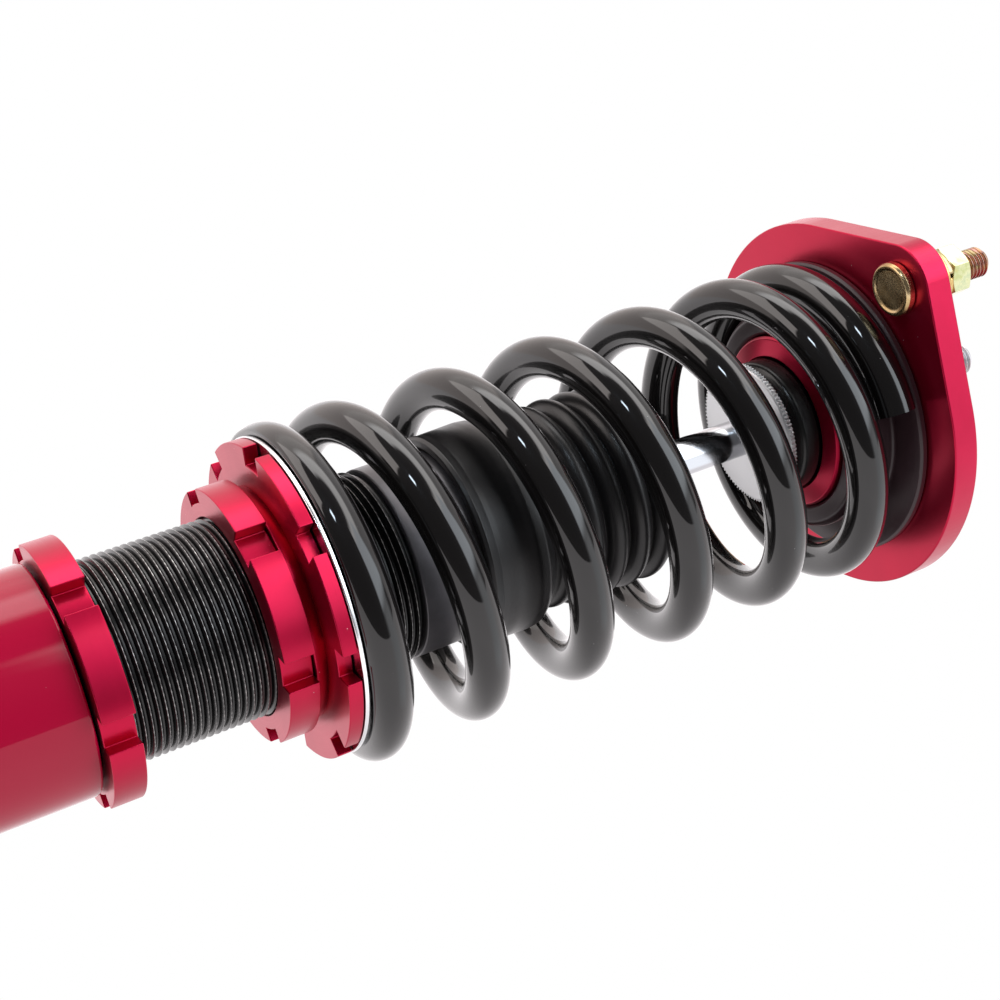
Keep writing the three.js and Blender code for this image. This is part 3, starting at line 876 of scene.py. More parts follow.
class GeometryTree:
    """A geometry node tree with named inputs, which ends in real mesh wearing one finish."""

    def __init__(self, name: str, sizes: dict[str, float]) -> None:
        """Starts the tree.

        Args:
            name: the tree's name.
            sizes: its inputs and their values, in metres or plain numbers.
        """
        self.tree = bpy.data.node_groups.new(name, "GeometryNodeTree")
        self.sizes = sizes
        face = self.tree.interface
        face.new_socket("Geometry", in_out="OUTPUT", socket_type="NodeSocketGeometry")
        face.new_socket("Finish", in_out="INPUT", socket_type="NodeSocketMaterial")
        for size, value in sizes.items():
            kind = "NodeSocketInt" if isinstance(value, int) else "NodeSocketFloat"
            face.new_socket(size, in_out="INPUT", socket_type=kind)
        self.graph = NodeGraph(self.tree)
        self.inputs = self.graph.add("NodeGroupInput").outputs

    def spiral(self, radius: str, climb: str | None = None) -> Socket:
        """A right-handed spiral of the tree's own steps and turns.

        Args:
            radius: the input that holds its radius.
            climb: the input that holds its rise, or none for a flat one.

        Returns:
            The spiral line's socket.
        """
        given = self.inputs
        sizes = {"Start Radius": given[radius], "End Radius": given[radius], "Height": given[climb] if climb else 0.0}
        turns = {"Resolution": given["Steps"], "Rotations": given["Turns"], "Reverse": True}
        return self.graph.add("GeometryNodeCurveSpiral", {**turns, **sizes}).outputs[0]

    def circle(self, sides: int | Socket, radius: float | Socket) -> Socket:
        """A circle with a number of sides."""
        return self.graph.add("GeometryNodeCurvePrimitiveCircle", {"Resolution": sides, "Radius": radius}).outputs[0]

    def trapezoid(self, depth: Socket, root: Socket, crest: Socket) -> Socket:
        """A four-sided section that is wide at its root and narrow at its crest."""
        sizes = {"Height": depth, "Bottom Width": root, "Top Width": crest, "Offset": 0.0}
        return self.graph.add("GeometryNodeCurvePrimitiveQuadrilateral", sizes, mode="TRAPEZOID").outputs[0]

    def filleted(self, line: Socket, count: int, radius: Socket) -> Socket:
        """A line with its corners rounded."""
        inputs = {"Curve": line, "Count": count, "Radius": radius}
        return self.graph.add("GeometryNodeFilletCurve", inputs, mode="POLY").outputs[0]

    def upright(self, line: Socket) -> Socket:
        """A line whose section stays upright along it."""
        return self.graph.add("GeometryNodeSetCurveNormal", {0: line}, mode="Z_UP").outputs[0]

    def swept(self, line: Socket, section: Socket) -> Socket:
        """A closed solid with one section along a line."""
        inputs = {"Curve": line, "Profile Curve": section, "Fill Caps": True}
        return self.graph.add("GeometryNodeCurveToMesh", inputs).outputs[0]

    def raised(self, geometry: Socket, height: Socket) -> Socket:
        """The geometry moved up by a height."""
        lift = self.graph.add("ShaderNodeCombineXYZ", {2: height}).outputs[0]
        return self.graph.add("GeometryNodeSetPosition", {0: geometry, "Offset": lift}).outputs[0]

    def finish(self, geometry: Socket) -> None:
        """Ends the tree in Realize Instances and Set Material."""
        real = self.graph.add("GeometryNodeRealizeInstances", {0: geometry}).outputs[0]
        smooth = self.graph.add("GeometryNodeSetShadeSmooth", {0: real}).outputs[0]
        dressed = self.graph.add("GeometryNodeSetMaterial", {0: smooth, "Material": self.inputs["Finish"]})
        self.graph.add("NodeGroupOutput", {0: dressed.outputs[0]})

    def piece(self, name: str, finish: Finish) -> bpy.types.Object:
        """Runs the tree and keeps its result as a plain mesh.

        Args:
            name: the piece's name.
            finish: what it wears.

        Returns:
            The piece.
        """
        made = bpy.data.objects.new(name, bpy.data.meshes.new(name))
        bpy.context.scene.collection.objects.link(made)
        modifier = made.modifiers.new("shape", "NODES")
        modifier.node_group = self.tree
        for item in self.tree.interface.items_tree:
            if item.in_out == "INPUT":
                value = finish.material() if item.name == "Finish" else self.sizes[item.name]
                modifier[item.identifier] = value
        return baked(made)


@dataclass(frozen=True)
class ScrewThread:
    """A right-handed thread ridge, swept along its helix."""

    radius: float
    pitch: float
    bottom: float
    top: float
    depth: float
    steps: int = 64
    crest: float = 0.3

    def piece(self, name: str, finish: Finish) -> bpy.types.Object:
        """Builds the ridge.

        Args:
            name: the piece's name.
            finish: what it wears.

        Returns:
            The ridge as a mesh.
        """
        sizes = {
            "Steps": self.steps,
            "Turns": (self.top - self.bottom) / self.pitch - 1.0,
            "Line radius": (self.radius - self.depth / 2) * MM,
            "Climb": (self.top - self.bottom - self.pitch) * MM,
            "Start height": (self.bottom + self.pitch / 2) * MM,
            "Depth": self.depth * MM,
            "Root width": self.pitch * 0.94 * MM,
            "Crest width": self.pitch * self.crest * MM,
            "Edge radius": self.pitch * 0.07 * MM,
        }
        tree = GeometryTree(name + "_thread", sizes)
        graph, given = tree.graph, tree.inputs
        helix = tree.upright(tree.spiral("Line radius", "Climb"))
        section = tree.trapezoid(given["Depth"], given["Root width"], given["Crest width"])
        soft = tree.filleted(section, 2, given["Edge radius"])
        outward = graph.add("GeometryNodeTransform", {0: soft, "Rotation": (0.0, 0.0, -math.pi / 2)}).outputs[0]
        tree.finish(tree.raised(tree.swept(helix, outward), given["Start height"]))
        return tree.piece(name, finish)


@dataclass(frozen=True)
class Serration:
    """Short ridges standing round a disc's rim."""

    radius: float
    count: int
    height: float
    width: float
    proud: float
    middle: float

    def piece(self, name: str, finish: Finish) -> bpy.types.Object:
        """Builds the ridges.

        Args:
            name: the piece's name.
            finish: what it wears.

        Returns:
            The ridges as one mesh.
        """
        sizes = {
            "Count": self.count,
            "Radius": self.radius * MM,
            "Height": self.height * MM,
            "Width": self.width * MM,
            "Proud": self.proud * MM,
            "Middle": self.middle * MM,
        }
        tree = GeometryTree(name + "_ridges", sizes)
        graph, given = tree.graph, tree.inputs
        ring = tree.circle(given["Count"], given["Radius"])
        points = graph.add("GeometryNodeCurveToPoints", {"Curve": ring}, mode="EVALUATED")
        crest = graph.math("MULTIPLY", given["Width"], 0.35)
        section = tree.trapezoid(graph.math("MULTIPLY", given["Proud"], 2.0), given["Width"], crest)
        half = graph.math("MULTIPLY", given["Height"], 0.5)
        ends = [
            graph.add("ShaderNodeCombineXYZ", {2: graph.math("MULTIPLY", half, side)}).outputs[0]
            for side in (-1.0, 1.0)
        ]
        line = graph.add("GeometryNodeCurvePrimitiveLine", {"Start": ends[0], "End": ends[1]}).outputs[0]
        ridge = tree.swept(line, section)
        place = graph.add("GeometryNodeInputPosition").outputs[0]
        split = graph.add("ShaderNodeSeparateXYZ", {0: place}).outputs
        around = graph.math("SUBTRACT", graph.math("ARCTAN2", split[1], split[0]), math.pi / 2)
        turn = graph.add("ShaderNodeCombineXYZ", {2: around}).outputs[0]
        stood = graph.add(
            "GeometryNodeInstanceOnPoints", {"Points": points.outputs[0], "Instance": ridge, "Rotation": turn}
        ).outputs[0]
        real = graph.add("GeometryNodeRealizeInstances", {0: stood}).outputs[0]
        tree.finish(tree.raised(real, given["Middle"]))
        return tree.piece(name, finish)


# ---- sub-assemblies ----


@dataclass(frozen=True)
class CoilSpring:
    """The coil spring: its line climbs gently at both closed ends and steeply in between."""

    wire: float = 5.8
    coil: float = 41.2
    offset: float = 1.2
    offset_angle: float = 116.0
    zero_angle: float = 26.0
    working_pitch: float = 31.44
    closed_pitch: float = 7.0
    first_turn: float = 0.45
    last_turn: float = 7.025
    bottom_closing: tuple[float, float] = (1.1, 0.383)
    top_closing: tuple[float, float] = (5.3, 1.8)
    line_lift: float = 1.2
    steps: int = 96
    wire_sides: int = 44
    keep: float = 0.638

    def opened(self, graph: NodeGraph, turn: Socket, closing: tuple[float, float]) -> Socket:
        """How far the line has risen, in turns at full pitch, once the pitch has opened over a stretch.

        Args:
            graph: the tree to add the nodes to.
            turn: the turn count.
            closing: where the stretch starts and how long it is, in turns.

        Returns:
            The risen turns' socket.
        """
        start, length = closing
        x = graph.math("DIVIDE", graph.math("SUBTRACT", turn, start), length, clamp=True)
        cube = graph.math("POWER", x, 3.0)
        eased = graph.math("MULTIPLY", cube, graph.math("SUBTRACT", 1.0, graph.math("MULTIPLY", x, 0.5)))
        past = graph.math("MAXIMUM", graph.math("SUBTRACT", turn, start + length), 0.0)
        return graph.math("MULTIPLY_ADD", eased, length, past)

    def build(self) -> None:
        """Builds the spring between its two seats."""
        seats = Extent.of("coil_spring")
        turns = self.last_turn - self.first_turn
        sizes = {
            "Steps": self.steps,
            "Wire sides": self.wire_sides,
            "Turns": turns,
            "Coil radius": self.coil * MM,
            "Wire radius": self.wire * MM,
            "First turn": self.first_turn,
            "Start height": (seats.bottom + self.line_lift) * MM,
            "Closed pitch": self.closed_pitch * MM,
            "Opening pitch": (self.working_pitch - self.closed_pitch) * MM,
            "Start angle": math.radians(self.zero_angle + 360 * self.first_turn),
            "Seat bottom": seats.bottom * MM,
            "Seat top": seats.top * MM,
        }
        tree = GeometryTree("coil_spring_line", sizes)
        graph, given = tree.graph, tree.inputs
        flat = tree.spiral("Coil radius")
        along = graph.add("GeometryNodeSplineParameter").outputs["Factor"]
        turn = graph.math("MULTIPLY_ADD", along, given["Turns"], given["First turn"])
        risen = graph.math(
            "SUBTRACT", self.opened(graph, turn, self.bottom_closing), self.opened(graph, turn, self.top_closing)
        )
        gentle = graph.math("MULTIPLY", along, graph.math("MULTIPLY", given["Turns"], given["Closed pitch"]))
        steep = graph.math("MULTIPLY_ADD", risen, given["Opening pitch"], gentle)
        height = graph.math("ADD", steep, given["Start height"])
        spin = graph.add("ShaderNodeCombineXYZ", {2: given["Start angle"]}).outputs[0]
        turned_line = {0: tree.raised(flat, height), "Rotation": spin}
        line = tree.upright(graph.add("GeometryNodeTransform", turned_line).outputs[0])
        swept = tree.swept(line, tree.circle(given["Wire sides"], given["Wire radius"]))
        place = graph.add("GeometryNodeInputPosition").outputs[0]
        split = graph.add("ShaderNodeSeparateXYZ", {0: place}).outputs
        held = graph.math("MINIMUM", graph.math("MAXIMUM", split[2], given["Seat bottom"]), given["Seat top"])
        side = math.radians(self.offset_angle)
        x = graph.math("ADD", split[0], self.offset * MM * math.cos(side))
        y = graph.math("ADD", split[1], self.offset * MM * math.sin(side))
        ground = graph.add("ShaderNodeCombineXYZ", {0: x, 1: y, 2: held}).outputs[0]
        tree.finish(graph.add("GeometryNodeSetPosition", {0: swept, "Position": ground}).outputs[0])
        spring = tree.piece("spring_wire", Finishes.spring_black)
        finished(spring, Body.CHASSIS, Finishes.spring_black, ["coil_spring"])
        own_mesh(spring)


@dataclass(frozen=True)
class TopPlate:
    """The two-lobed red plate."""

    radius: float = 55.5
    reach: float = 56.0
    lobe: float = 12.3
    bore: float = 17.0
    stud_hole: float = 4.6
    edge: float = 0.45

    def outline(self) -> list[tuple[float, float]]:
        """The plate's outer points, with more of them round the lobes."""
        tangent = math.acos((self.radius - self.lobe) / self.reach)
        points = []
        for side in (0.0, math.pi):
            centre = Vector(polar(self.reach, side))
            for step in range(28):
                angle = side - tangent + 2 * tangent * step / 28
                points.append(tuple(centre + Vector(polar(self.lobe, angle))))
            for step in range(76):
                angle = side + tangent + (math.pi - 2 * tangent) * step / 76
                points.append(polar(self.radius, angle))
        return points

    def build(self) -> None:
        """Builds the plate, with its milled edge in a finish of its own."""
        extent = Extent.of("top_plate")
        holes = []
        stud_holes = [(x, self.stud_hole, 48) for x in (-self.reach, self.reach)]
        for x, radius, sides in [(0.0, self.bore, 96), *stud_holes]:
            around = (polar(radius, 2 * math.pi * step / sides) for step in range(sides))
            holes.append([(x + along, y) for along, y in around])
        plate = prism("two_stud_plate", [self.outline(), *holes], extent.bottom, extent.top)
        bevelled(plate, self.edge, 3)
        plate.data.materials.clear()
        for finish in (Finishes.plate_red, Finishes.plate_edge_red):
            plate.data.materials.append(finish.material())
        for face in plate.data.polygons:
            face.material_index = 0 if is_level(plate.data, face) or abs(face.normal.z) > 0.35 else 1
        flat_faced(plate)
        finished(plate, Body.CHASSIS, Finishes.plate_red, ["top_plate"])


@dataclass(frozen=True)
class Hexagon:
    """A hexagon nut with chamfered corners and a bored centre."""

    across_flats: float
    bore: float
    bottom: float
    top: float
    angle: float = 0.0
    per_side: int = 12

    def piece(self, name: str, centre: tuple[float, float] = (0.0, 0.0)) -> bpy.types.Object:
        """Builds the nut.

        Args:
            name: the piece's name.
            centre: where its axis stands.

        Returns:
            The nut.
        """
        flat = self.across_flats / 2
        slope = math.tan(math.radians(30))
        face = flat * 0.97
        countersink = self.bore * 1.12
        sides = 6 * self.per_side
        build = bmesh.new()
        columns = []
        for side in range(sides):
            turn = 2 * math.pi * side / sides
            away = abs(turn % (math.pi / 3) - math.pi / 6)
            corner = flat / math.cos(away)
            drop = (corner - face) * slope
            heights = [
                (self.bore, self.bottom + 0.5), (countersink, self.bottom), (face, self.bottom),
                (corner, self.bottom + drop), (corner, self.top - drop), (face, self.top),
                (countersink, self.top), (self.bore, self.top - 0.5),
            ]
            angle = turn + math.radians(self.angle)
            column = []
            for radius, z in heights:
                x, y = polar(radius, angle)
                column.append(build.verts.new((x + centre[0], y + centre[1], z)))
            columns.append(column)
        for side, column in enumerate(columns):
            beside = columns[(side + 1) % sides]
            for row in range(len(column)):
                after = (row + 1) % len(column)
                build.faces.new((column[row], beside[row], beside[after], column[after]))
        made = to_object(name, build)
        return bevelled(made, 0.16, 2, 24.0)


@dataclass(frozen=True)
class StudSet:
    """One plate stud with its washer, spring washer and nut."""

    side: str
    x: float
    stud: float = 4.3
    head: float = 7.5
    head_dish: float = 5.6
    pitch: float = 1.25
    washer: float = 10.0
    split_washer: float = 7.6
    nut_flats: float = 13.0
    nut_angle: float = 23.0
    split_gap: float = 9.0

    def spring_washer(self, extent: Extent) -> bpy.types.Object:
        """The split washer, whose cut ends stand a little apart.

        Args:
            extent: the height it fills.

        Returns:
            The washer.
        """
        outer, bore, sides, spread = self.split_washer, self.stud + 0.3, 72, 0.45
        section = rounded(ring_corners(bore, outer, 0, 1, 0.15, 0.3, 0.3), 2)
        thick = extent.height - spread
        build = bmesh.new()
        loops = []
        gap = math.radians(self.split_gap)
        for side in range(sides + 1):
            share = side / sides
            angle = gap / 2 + (2 * math.pi - gap) * share + 0.7
            base = extent.bottom + spread * share
            loop = []
            for radius, level in section:
                x, y = polar(radius, angle)
                loop.append(build.verts.new((x + self.x, y, base + level * thick)))
            loops.append(loop)
        for low, high in zip(loops, loops[1:]):
            for row in range(len(low)):
                after = (row + 1) % len(low)
                build.faces.new((low[row], low[after], high[after], high[row]))
        build.faces.new(loops[0])
        build.faces.new(loops[-1])
        return weighted(to_object(f"split_washer_{self.side}", build))

    def build(self) -> None:
        """Builds the stud and what is on it."""
        body = Body.CHASSIS
        stud, nut = Extent.of(f"stud_{self.side}"), Extent.of(f"stud_nut_{self.side}")
        washer = Extent.of(f"stud_washer_{self.side}")
        split = Extent.of(f"stud_spring_washer_{self.side}")
        place = (self.x, 0.0, 0.0)
        core = self.stud - 0.7
        head_top = Extent.of("top_plate").bottom - 0.3
        low = stud.bottom
        head = turned(
            f"stud_head_{self.side}",
            [
                (0, low + 0.45), (self.head_dish, low + 0.45, 1.2), (self.head_dish + 0.7, low, 0.5),
                (self.head - 0.5, low, 0.6), (self.head, low + 0.9, 0.5), (self.head, head_top, 0.2), (0, head_top),
            ],
            72, 4, centre=place,
        )
        head.data.materials.append(Finishes.head_zinc.material())
        shank = turned(
            f"stud_shank_{self.side}",
            [
                (0, head_top - 0.5), (self.stud - 0.1, head_top - 0.5), (self.stud - 0.1, -1.0, 0.3), (core, 0.2),
                (core, stud.top - 1.3), (core - 0.4, stud.top, 0.3), (0, stud.top),
            ],
            64, 3, centre=place,
        )
        shank.data.materials.append(Finishes.stud_zinc.material())
        ridge = ScrewThread(self.stud, self.pitch, -0.2, stud.top - 0.5, 0.8, 40, 0.14)
        thread = ridge.piece(f"stud_thread_{self.side}", Finishes.stud_zinc)
        thread.data.transform(Matrix.Translation(Vector(place) * MM))
        finished(merged(head, shank, thread), body, Finishes.head_zinc, [f"stud_{self.side}"])
        bore = self.stud + 0.3
        corners = ring_corners(bore, self.washer, washer.bottom, washer.top, 0.1, 0.35, 0.6)
        flat = turned(f"flat_washer_{self.side}", corners, 72, 3, centre=place)
        finished(flat, body, Finishes.washer_zinc, [f"stud_washer_{self.side}"])
        finished(self.spring_washer(split), body, Finishes.washer_zinc, [f"stud_spring_washer_{self.side}"])
        hexagon = Hexagon(self.nut_flats, bore, nut.bottom, nut.top, self.nut_angle)
        piece = hexagon.piece(f"hex_nut_{self.side}", (self.x, 0.0))
        finished(piece, body, Finishes.nut_zinc, [f"stud_nut_{self.side}"])


@dataclass(frozen=True)
class RodMount:
    """The rubber-bushed mount that holds the rod in the plate, and the pad that the spring bears on."""

    cup: float = 21.2
    bush_bore: float = 7.8
    neck: float = 16.7
    rod_stud: float = 5.2

    def build(self) -> None:
        """Builds the housing, pad, bushes, washers and nut."""
        body = Body.CHASSIS
        house, pad = Extent.of("bush_housing"), Extent.of("spring_isolator")
        piece = turned(
            "bevelled_housing",
            [
                (20.5, house.bottom, 0.35), (25.4, house.bottom + 0.9, 0.5), (26.0, house.bottom + 1.8, 0.3),
                (26.0, house.top, 0.3), (17.0, house.top, 0.3), (17.0, house.bottom + 4.8, 0.5),
            ],
            160,
        )
        finished(piece, body, Finishes.ring_red, ["bush_housing"])
        flange = pad.top - 2.2
        piece = turned(
            "spring_pad",
            [
                (26.3, pad.bottom + 0.8, 0.3), (27.2, pad.bottom, 0.7), (31.6, pad.bottom, 1.5),
                (33.2, pad.bottom + 2.2, 1.2), (33.2, flange, 1.2), (43.9, flange, 0.5), (44.5, flange + 0.7, 0.5),
                (44.5, pad.top, 0.2), (26.3, pad.top, 0.2),
            ],
            160,
        )
        finished(piece, body, Finishes.pad_rubber, ["spring_isolator"])
        self.bushes(body)
        self.washers(body)

    def bushes(self, body: Body) -> None:
        """Builds the two rubber bushes.

        Args:
            body: the body they ride on.
        """
        low, high = Extent.of("lower_bush"), Extent.of("upper_bush")
        rim = Extent.of("bush_housing").bottom
        piece = turned(
            "lower_bush_rubber",
            [
                (self.bush_bore, low.bottom, 0.2), (17.2, low.bottom, 0.4), (17.4, low.bottom + 0.9, 0.8),
                (17.9, low.bottom + 1.7, 0.8), (20.0, low.bottom + 3.4, 2.2), (20.0, rim - 0.5, 1.2),
                (self.neck, rim + 2.6, 1.0), (self.neck, low.top, 0.3), (self.bush_bore, low.top, 0.2),
            ],
            128, 6,
        )
        finished(piece, body, Finishes.bush_rubber, ["lower_bush"])
        piece = turned(
            "upper_bush_rubber",
            [
                (self.bush_bore, high.bottom, 0.2), (self.neck, high.bottom, 0.3), (self.neck, 0.4, 0.2),
                (19.6, 0.4, 0.8), (20.3, 3.0, 1.5), (20.3, 10.5, 3.0), (18.2, high.top, 1.2),
                (self.bush_bore, high.top, 0.2),
            ],
            128, 6,
        )
        finished(piece, body, Finishes.bush_rubber, ["upper_bush"])

    def washers(self, body: Body) -> None:
        """Builds the two cup washers and the rod's nut.

        Args:
            body: the body they ride on.
        """
        for node, name in (("lower_cup_washer", "lower_cup"), ("upper_cup_washer", "upper_cup")):
            extent = Extent.of(node)
            rim = self.cup - 0.45
            piece = turned(
                name,
                [
                    (self.rod_stud, extent.bottom, 0.15), (rim - 0.5, extent.bottom, 0.3),
                    (rim, extent.bottom + 0.4, 0.2), (rim, extent.top - 0.3, 0.2), (rim - 0.4, extent.top, 0.2),
                    (self.rod_stud, extent.top, 0.15),
                ],
                144,
            )
            piece.data.materials.append(Finishes.cup_zinc.material())
            ridges = Serration(rim, 110, extent.height - 0.5, 0.85, 0.42, (extent.bottom + extent.top) / 2)
            merged(piece, ridges.piece(name + "_rim", Finishes.cup_zinc))
            finished(piece, body, Finishes.cup_zinc, [node])
        nut = Extent.of("rod_nut")
        piece = Hexagon(17.0, self.rod_stud, nut.bottom, nut.top).piece("rod_hex_nut")
        finished(piece, body, Finishes.cup_zinc, ["rod_nut"])


@dataclass(frozen=True)
class PistonRod:
    """The chromed rod with its threaded top."""

    radius: float = 5.5
    stud: float = 4.9
    pitch: float = 1.25
    piston_top: float = -187.0

    def build(self) -> None:
        """Builds the rod from its piston end to its tip."""
        rod, shoulder = Extent.of("piston_rod"), Extent.of("lower_cup_washer").bottom - 0.3
        nut = Extent.of("rod_nut")
        core = self.stud - 0.7
        piece = turned(
            "chrome_rod",
            [
                (0, rod.bottom), (self.stud, rod.bottom, 0.6), (self.stud, self.piston_top + 0.3, 0.1),
                (self.radius, self.piston_top + 0.3, 0.3), (self.radius, shoulder, 0.5), (self.stud, shoulder, 0.1),
                (self.stud, nut.bottom - 1.5, 0.2), (core, nut.bottom - 0.8, 0.1), (core, rod.top - 1.0, 0.3),
                (core - 0.5, rod.top, 0.3), (0, rod.top),
            ],
            96,
        )
        piece.data.materials.append(Finishes.chrome.material())
        thread = ScrewThread(self.stud, self.pitch, nut.bottom - 1.2, rod.top - 0.4, 0.8, 40, 0.14)
        merged(piece, thread.piece("rod_thread", Finishes.steel))
        finished(piece, Body.CHASSIS, Finishes.chrome, ["piston_rod"])


@dataclass(frozen=True)
class DamperBody:
    """The threaded tube and its gland."""

    thread: float = 26.5
    pitch: float = 2.0
    depth: float = 1.22
    bore: float = 23.0

    def build(self) -> None:
        """Builds the tube with its real thread, and the gland."""
        tube, gland = Extent.of("threaded_body"), Extent.of("gland_nut")
        core = self.thread - self.depth + 0.12
        piece = turned(
            "threaded_tube",
            [
                (self.bore, tube.bottom, 0.2), (core, tube.bottom, 0.3), (core, tube.top - 1.0, 0.1),
                (core - 0.4, tube.top, 0.2), (self.bore, tube.top, 0.2),
            ],
            128,
        )
        piece.data.materials.append(Finishes.thread_black.material())
        ridge = ScrewThread(self.thread, self.pitch, tube.bottom + 0.6, tube.top - 0.3, self.depth, 84, 0.12)
        merged(piece, ridge.piece("tube_thread", Finishes.thread_black))
        finished(piece, Body.DAMPER, Finishes.thread_black, ["threaded_body"])
        spigot = self.bore - 0.3
        seat = tube.top + 0.3
        piece = turned(
            "gland_collar",
            [
                (9.0, gland.bottom, 0.3), (spigot, gland.bottom, 0.4), (spigot, seat, 0.1), (26.3, seat, 0.5),
                (26.3, gland.top - 1.6, 0.4), (24.7, gland.top, 0.4), (9.0, gland.top, 0.6),
            ],
            144,
        )
        finished(piece, Body.DAMPER, Finishes.gland_black, ["gland_nut"])


@dataclass(frozen=True)
class Boot:
    """The rubber cuff and bellows over the rod."""

    cuff: float = 29.8
    grip: float = 26.8
    crest: float = 28.5
    root: float = 24.2
    folds: int = 5
    per_fold: int = 18
    wall: float = 1.6
    end_bore: float = 7.0
    keep: float = 0.45

    def build(self) -> None:
        """Builds the cuff and the bellows."""
        cuff = Extent.of("boot_cuff")
        piece = turned(
            "cuff",
            [
                (self.grip, cuff.bottom + 0.5, 0.3), (27.6, cuff.bottom, 0.4), (self.cuff - 0.5, cuff.bottom, 0.6),
                (self.cuff, cuff.bottom + 1.2, 0.6), (self.cuff - 0.35, cuff.bottom + 3.5, 3.0),
                (self.cuff, cuff.top - 6.0, 3.0), (self.cuff - 0.3, cuff.top - 3.2, 2.0),
                (26.6, cuff.top, 1.6), (22.0, cuff.top, 0.3), (22.0, cuff.top - 2.0, 0.3),
                (self.grip - 1.5, cuff.top - 2.6, 0.5), (self.grip, cuff.top - 5.0, 0.5),
            ],
            144, 6,
        )
        finished(piece, Body.DAMPER, Finishes.boot_rubber, ["boot_cuff"])
        piece = turned("bellows", self.bellows(), 128, 5, smooth_only=True)
        finished(piece, Body.DAMPER, Finishes.boot_rubber, ["boot_bellows"])
        anchor = (0.0, 0.0, Extent.of("boot_bellows").bottom * MM)
        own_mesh(piece)

    def bellows(self) -> list[tuple[float, ...]]:
        """The bellows' profile: round crests, narrow roots, and a closed top."""
        extent = Extent.of("boot_bellows")
        base, top = extent.bottom + 1.6, extent.top - 3.0
        pitch = (top - base) / self.folds
        outside, inside = [], []
        for step in range(self.folds * self.per_fold + 1):
            place = step / self.per_fold
            crest = self.crest - (1.5 if place < 1 else 0.0)
            swell = abs(math.sin(math.pi * place)) ** 0.55
            z = base + pitch * place
            outside.append((self.root + (crest - self.root) * swell, z))
            inside.append((self.root - self.wall + (crest - self.root) * swell * 0.85, z))
        return [
            (self.root - self.wall, extent.bottom),
            (self.root, extent.bottom),
            *outside,
            (self.root, extent.top - 1.9, 0.5),
            (self.root - 1.4, extent.top, 1.4),
            (self.end_bore + 1.0, extent.top, 0.4),
            (self.end_bore, extent.top - 0.6, 0.3),
            (self.end_bore, extent.top - self.wall, 0.3),
            (self.root - self.wall, extent.top - self.wall - 0.8, 1.0),
            *reversed(inside),
        ]


@dataclass(frozen=True)
class Castellation:
    """A flat ring with square spanner notches in its rim."""

    outer: float
    bore: float
    notches: int
    notch_angle: float
    depth: float
    first: float

    def blank(self, name: str, bottom: float, top: float) -> bpy.types.Object:
        """Builds the ring with sharp edges.

        Args:
            name: the piece's name.
            bottom: its underside.
            top: its upper side.

        Returns:
            The ring.
        """
        step = 2 * math.pi / self.notches
        wide = math.radians(self.notch_angle) / 2
        floor = self.outer - self.depth
        half_width = self.outer * math.sin(wide)
        deep = math.asin(half_width / floor)
        outline, hole = [], []
        arc = max(8, round(120 / self.notches))
        for notch in range(self.notches):
            centre = notch * step + math.radians(self.first)
            for share in (-1.0, -0.5, 0.0, 0.5, 1.0):
                outline.append(polar(floor, centre + deep * share))
                hole.append(polar(self.bore, centre + wide * 0.96 * share))
            for index in range(arc + 1):
                angle = centre + wide + (step - 2 * wide) * index / arc
                outline.append(polar(self.outer, angle))
                hole.append(polar(self.bore, angle))
        return prism(name, [outline, hole], bottom, top)


@dataclass(frozen=True)
class ThreadedRings:
    """The castellated rings on the tube's thread, and the washer under the spring."""

    bore: float = 26.8
    edge: float = 0.3
    lock: Castellation = Castellation(34.3, 26.8, 6, 14.0, 3.8, -4.5)
    perch_lock: Castellation = Castellation(34.3, 26.8, 6, 14.0, 3.8, -1.5)
    flange: Castellation = Castellation(43.0, 26.8, 8, 10.5, 5.0, 10.5)
    neck: float = 31.5
    washer: float = 43.3

    def build(self) -> None:
        """Builds the lock ring, the perch with its own lock ring, and the washer."""
        red = Finishes.ring_red
        low, high = Extent.of("lower_lock_ring"), Extent.of("perch_lock_ring")
        piece = bevelled(self.lock.blank("body_lock_ring", low.bottom, low.top), self.edge)
        finished(piece, Body.LOCK_RING, red, ["lower_lock_ring"])
        piece = bevelled(self.perch_lock.blank("seat_lock_ring", high.bottom, high.top), self.edge)
        finished(piece, Body.PERCH, red, ["perch_lock_ring"])
        perch, washer = Extent.of("spring_perch"), Extent.of("perch_washer")
        flange_bottom = perch.top - 3.9
        piece = self.flange.blank("spring_seat", flange_bottom, perch.top)
        bevelled(piece, self.edge)
        corners = [
            (self.bore, perch.bottom, 0.2), (self.neck, perch.bottom, 0.3), (self.neck, flange_bottom + 1),
            (self.bore, flange_bottom + 1),
        ]
        finished(merged(piece, turned("neck", corners, 128)), Body.PERCH, red, ["spring_perch"])
        corners = ring_corners(self.bore, self.washer, washer.bottom, washer.top, 0.1, 0.3, 0.3)
        piece = turned("slip_ring", corners, 160)
        finished(piece, Body.SLIP_WASHER, Finishes.washer_bright, ["perch_washer"])


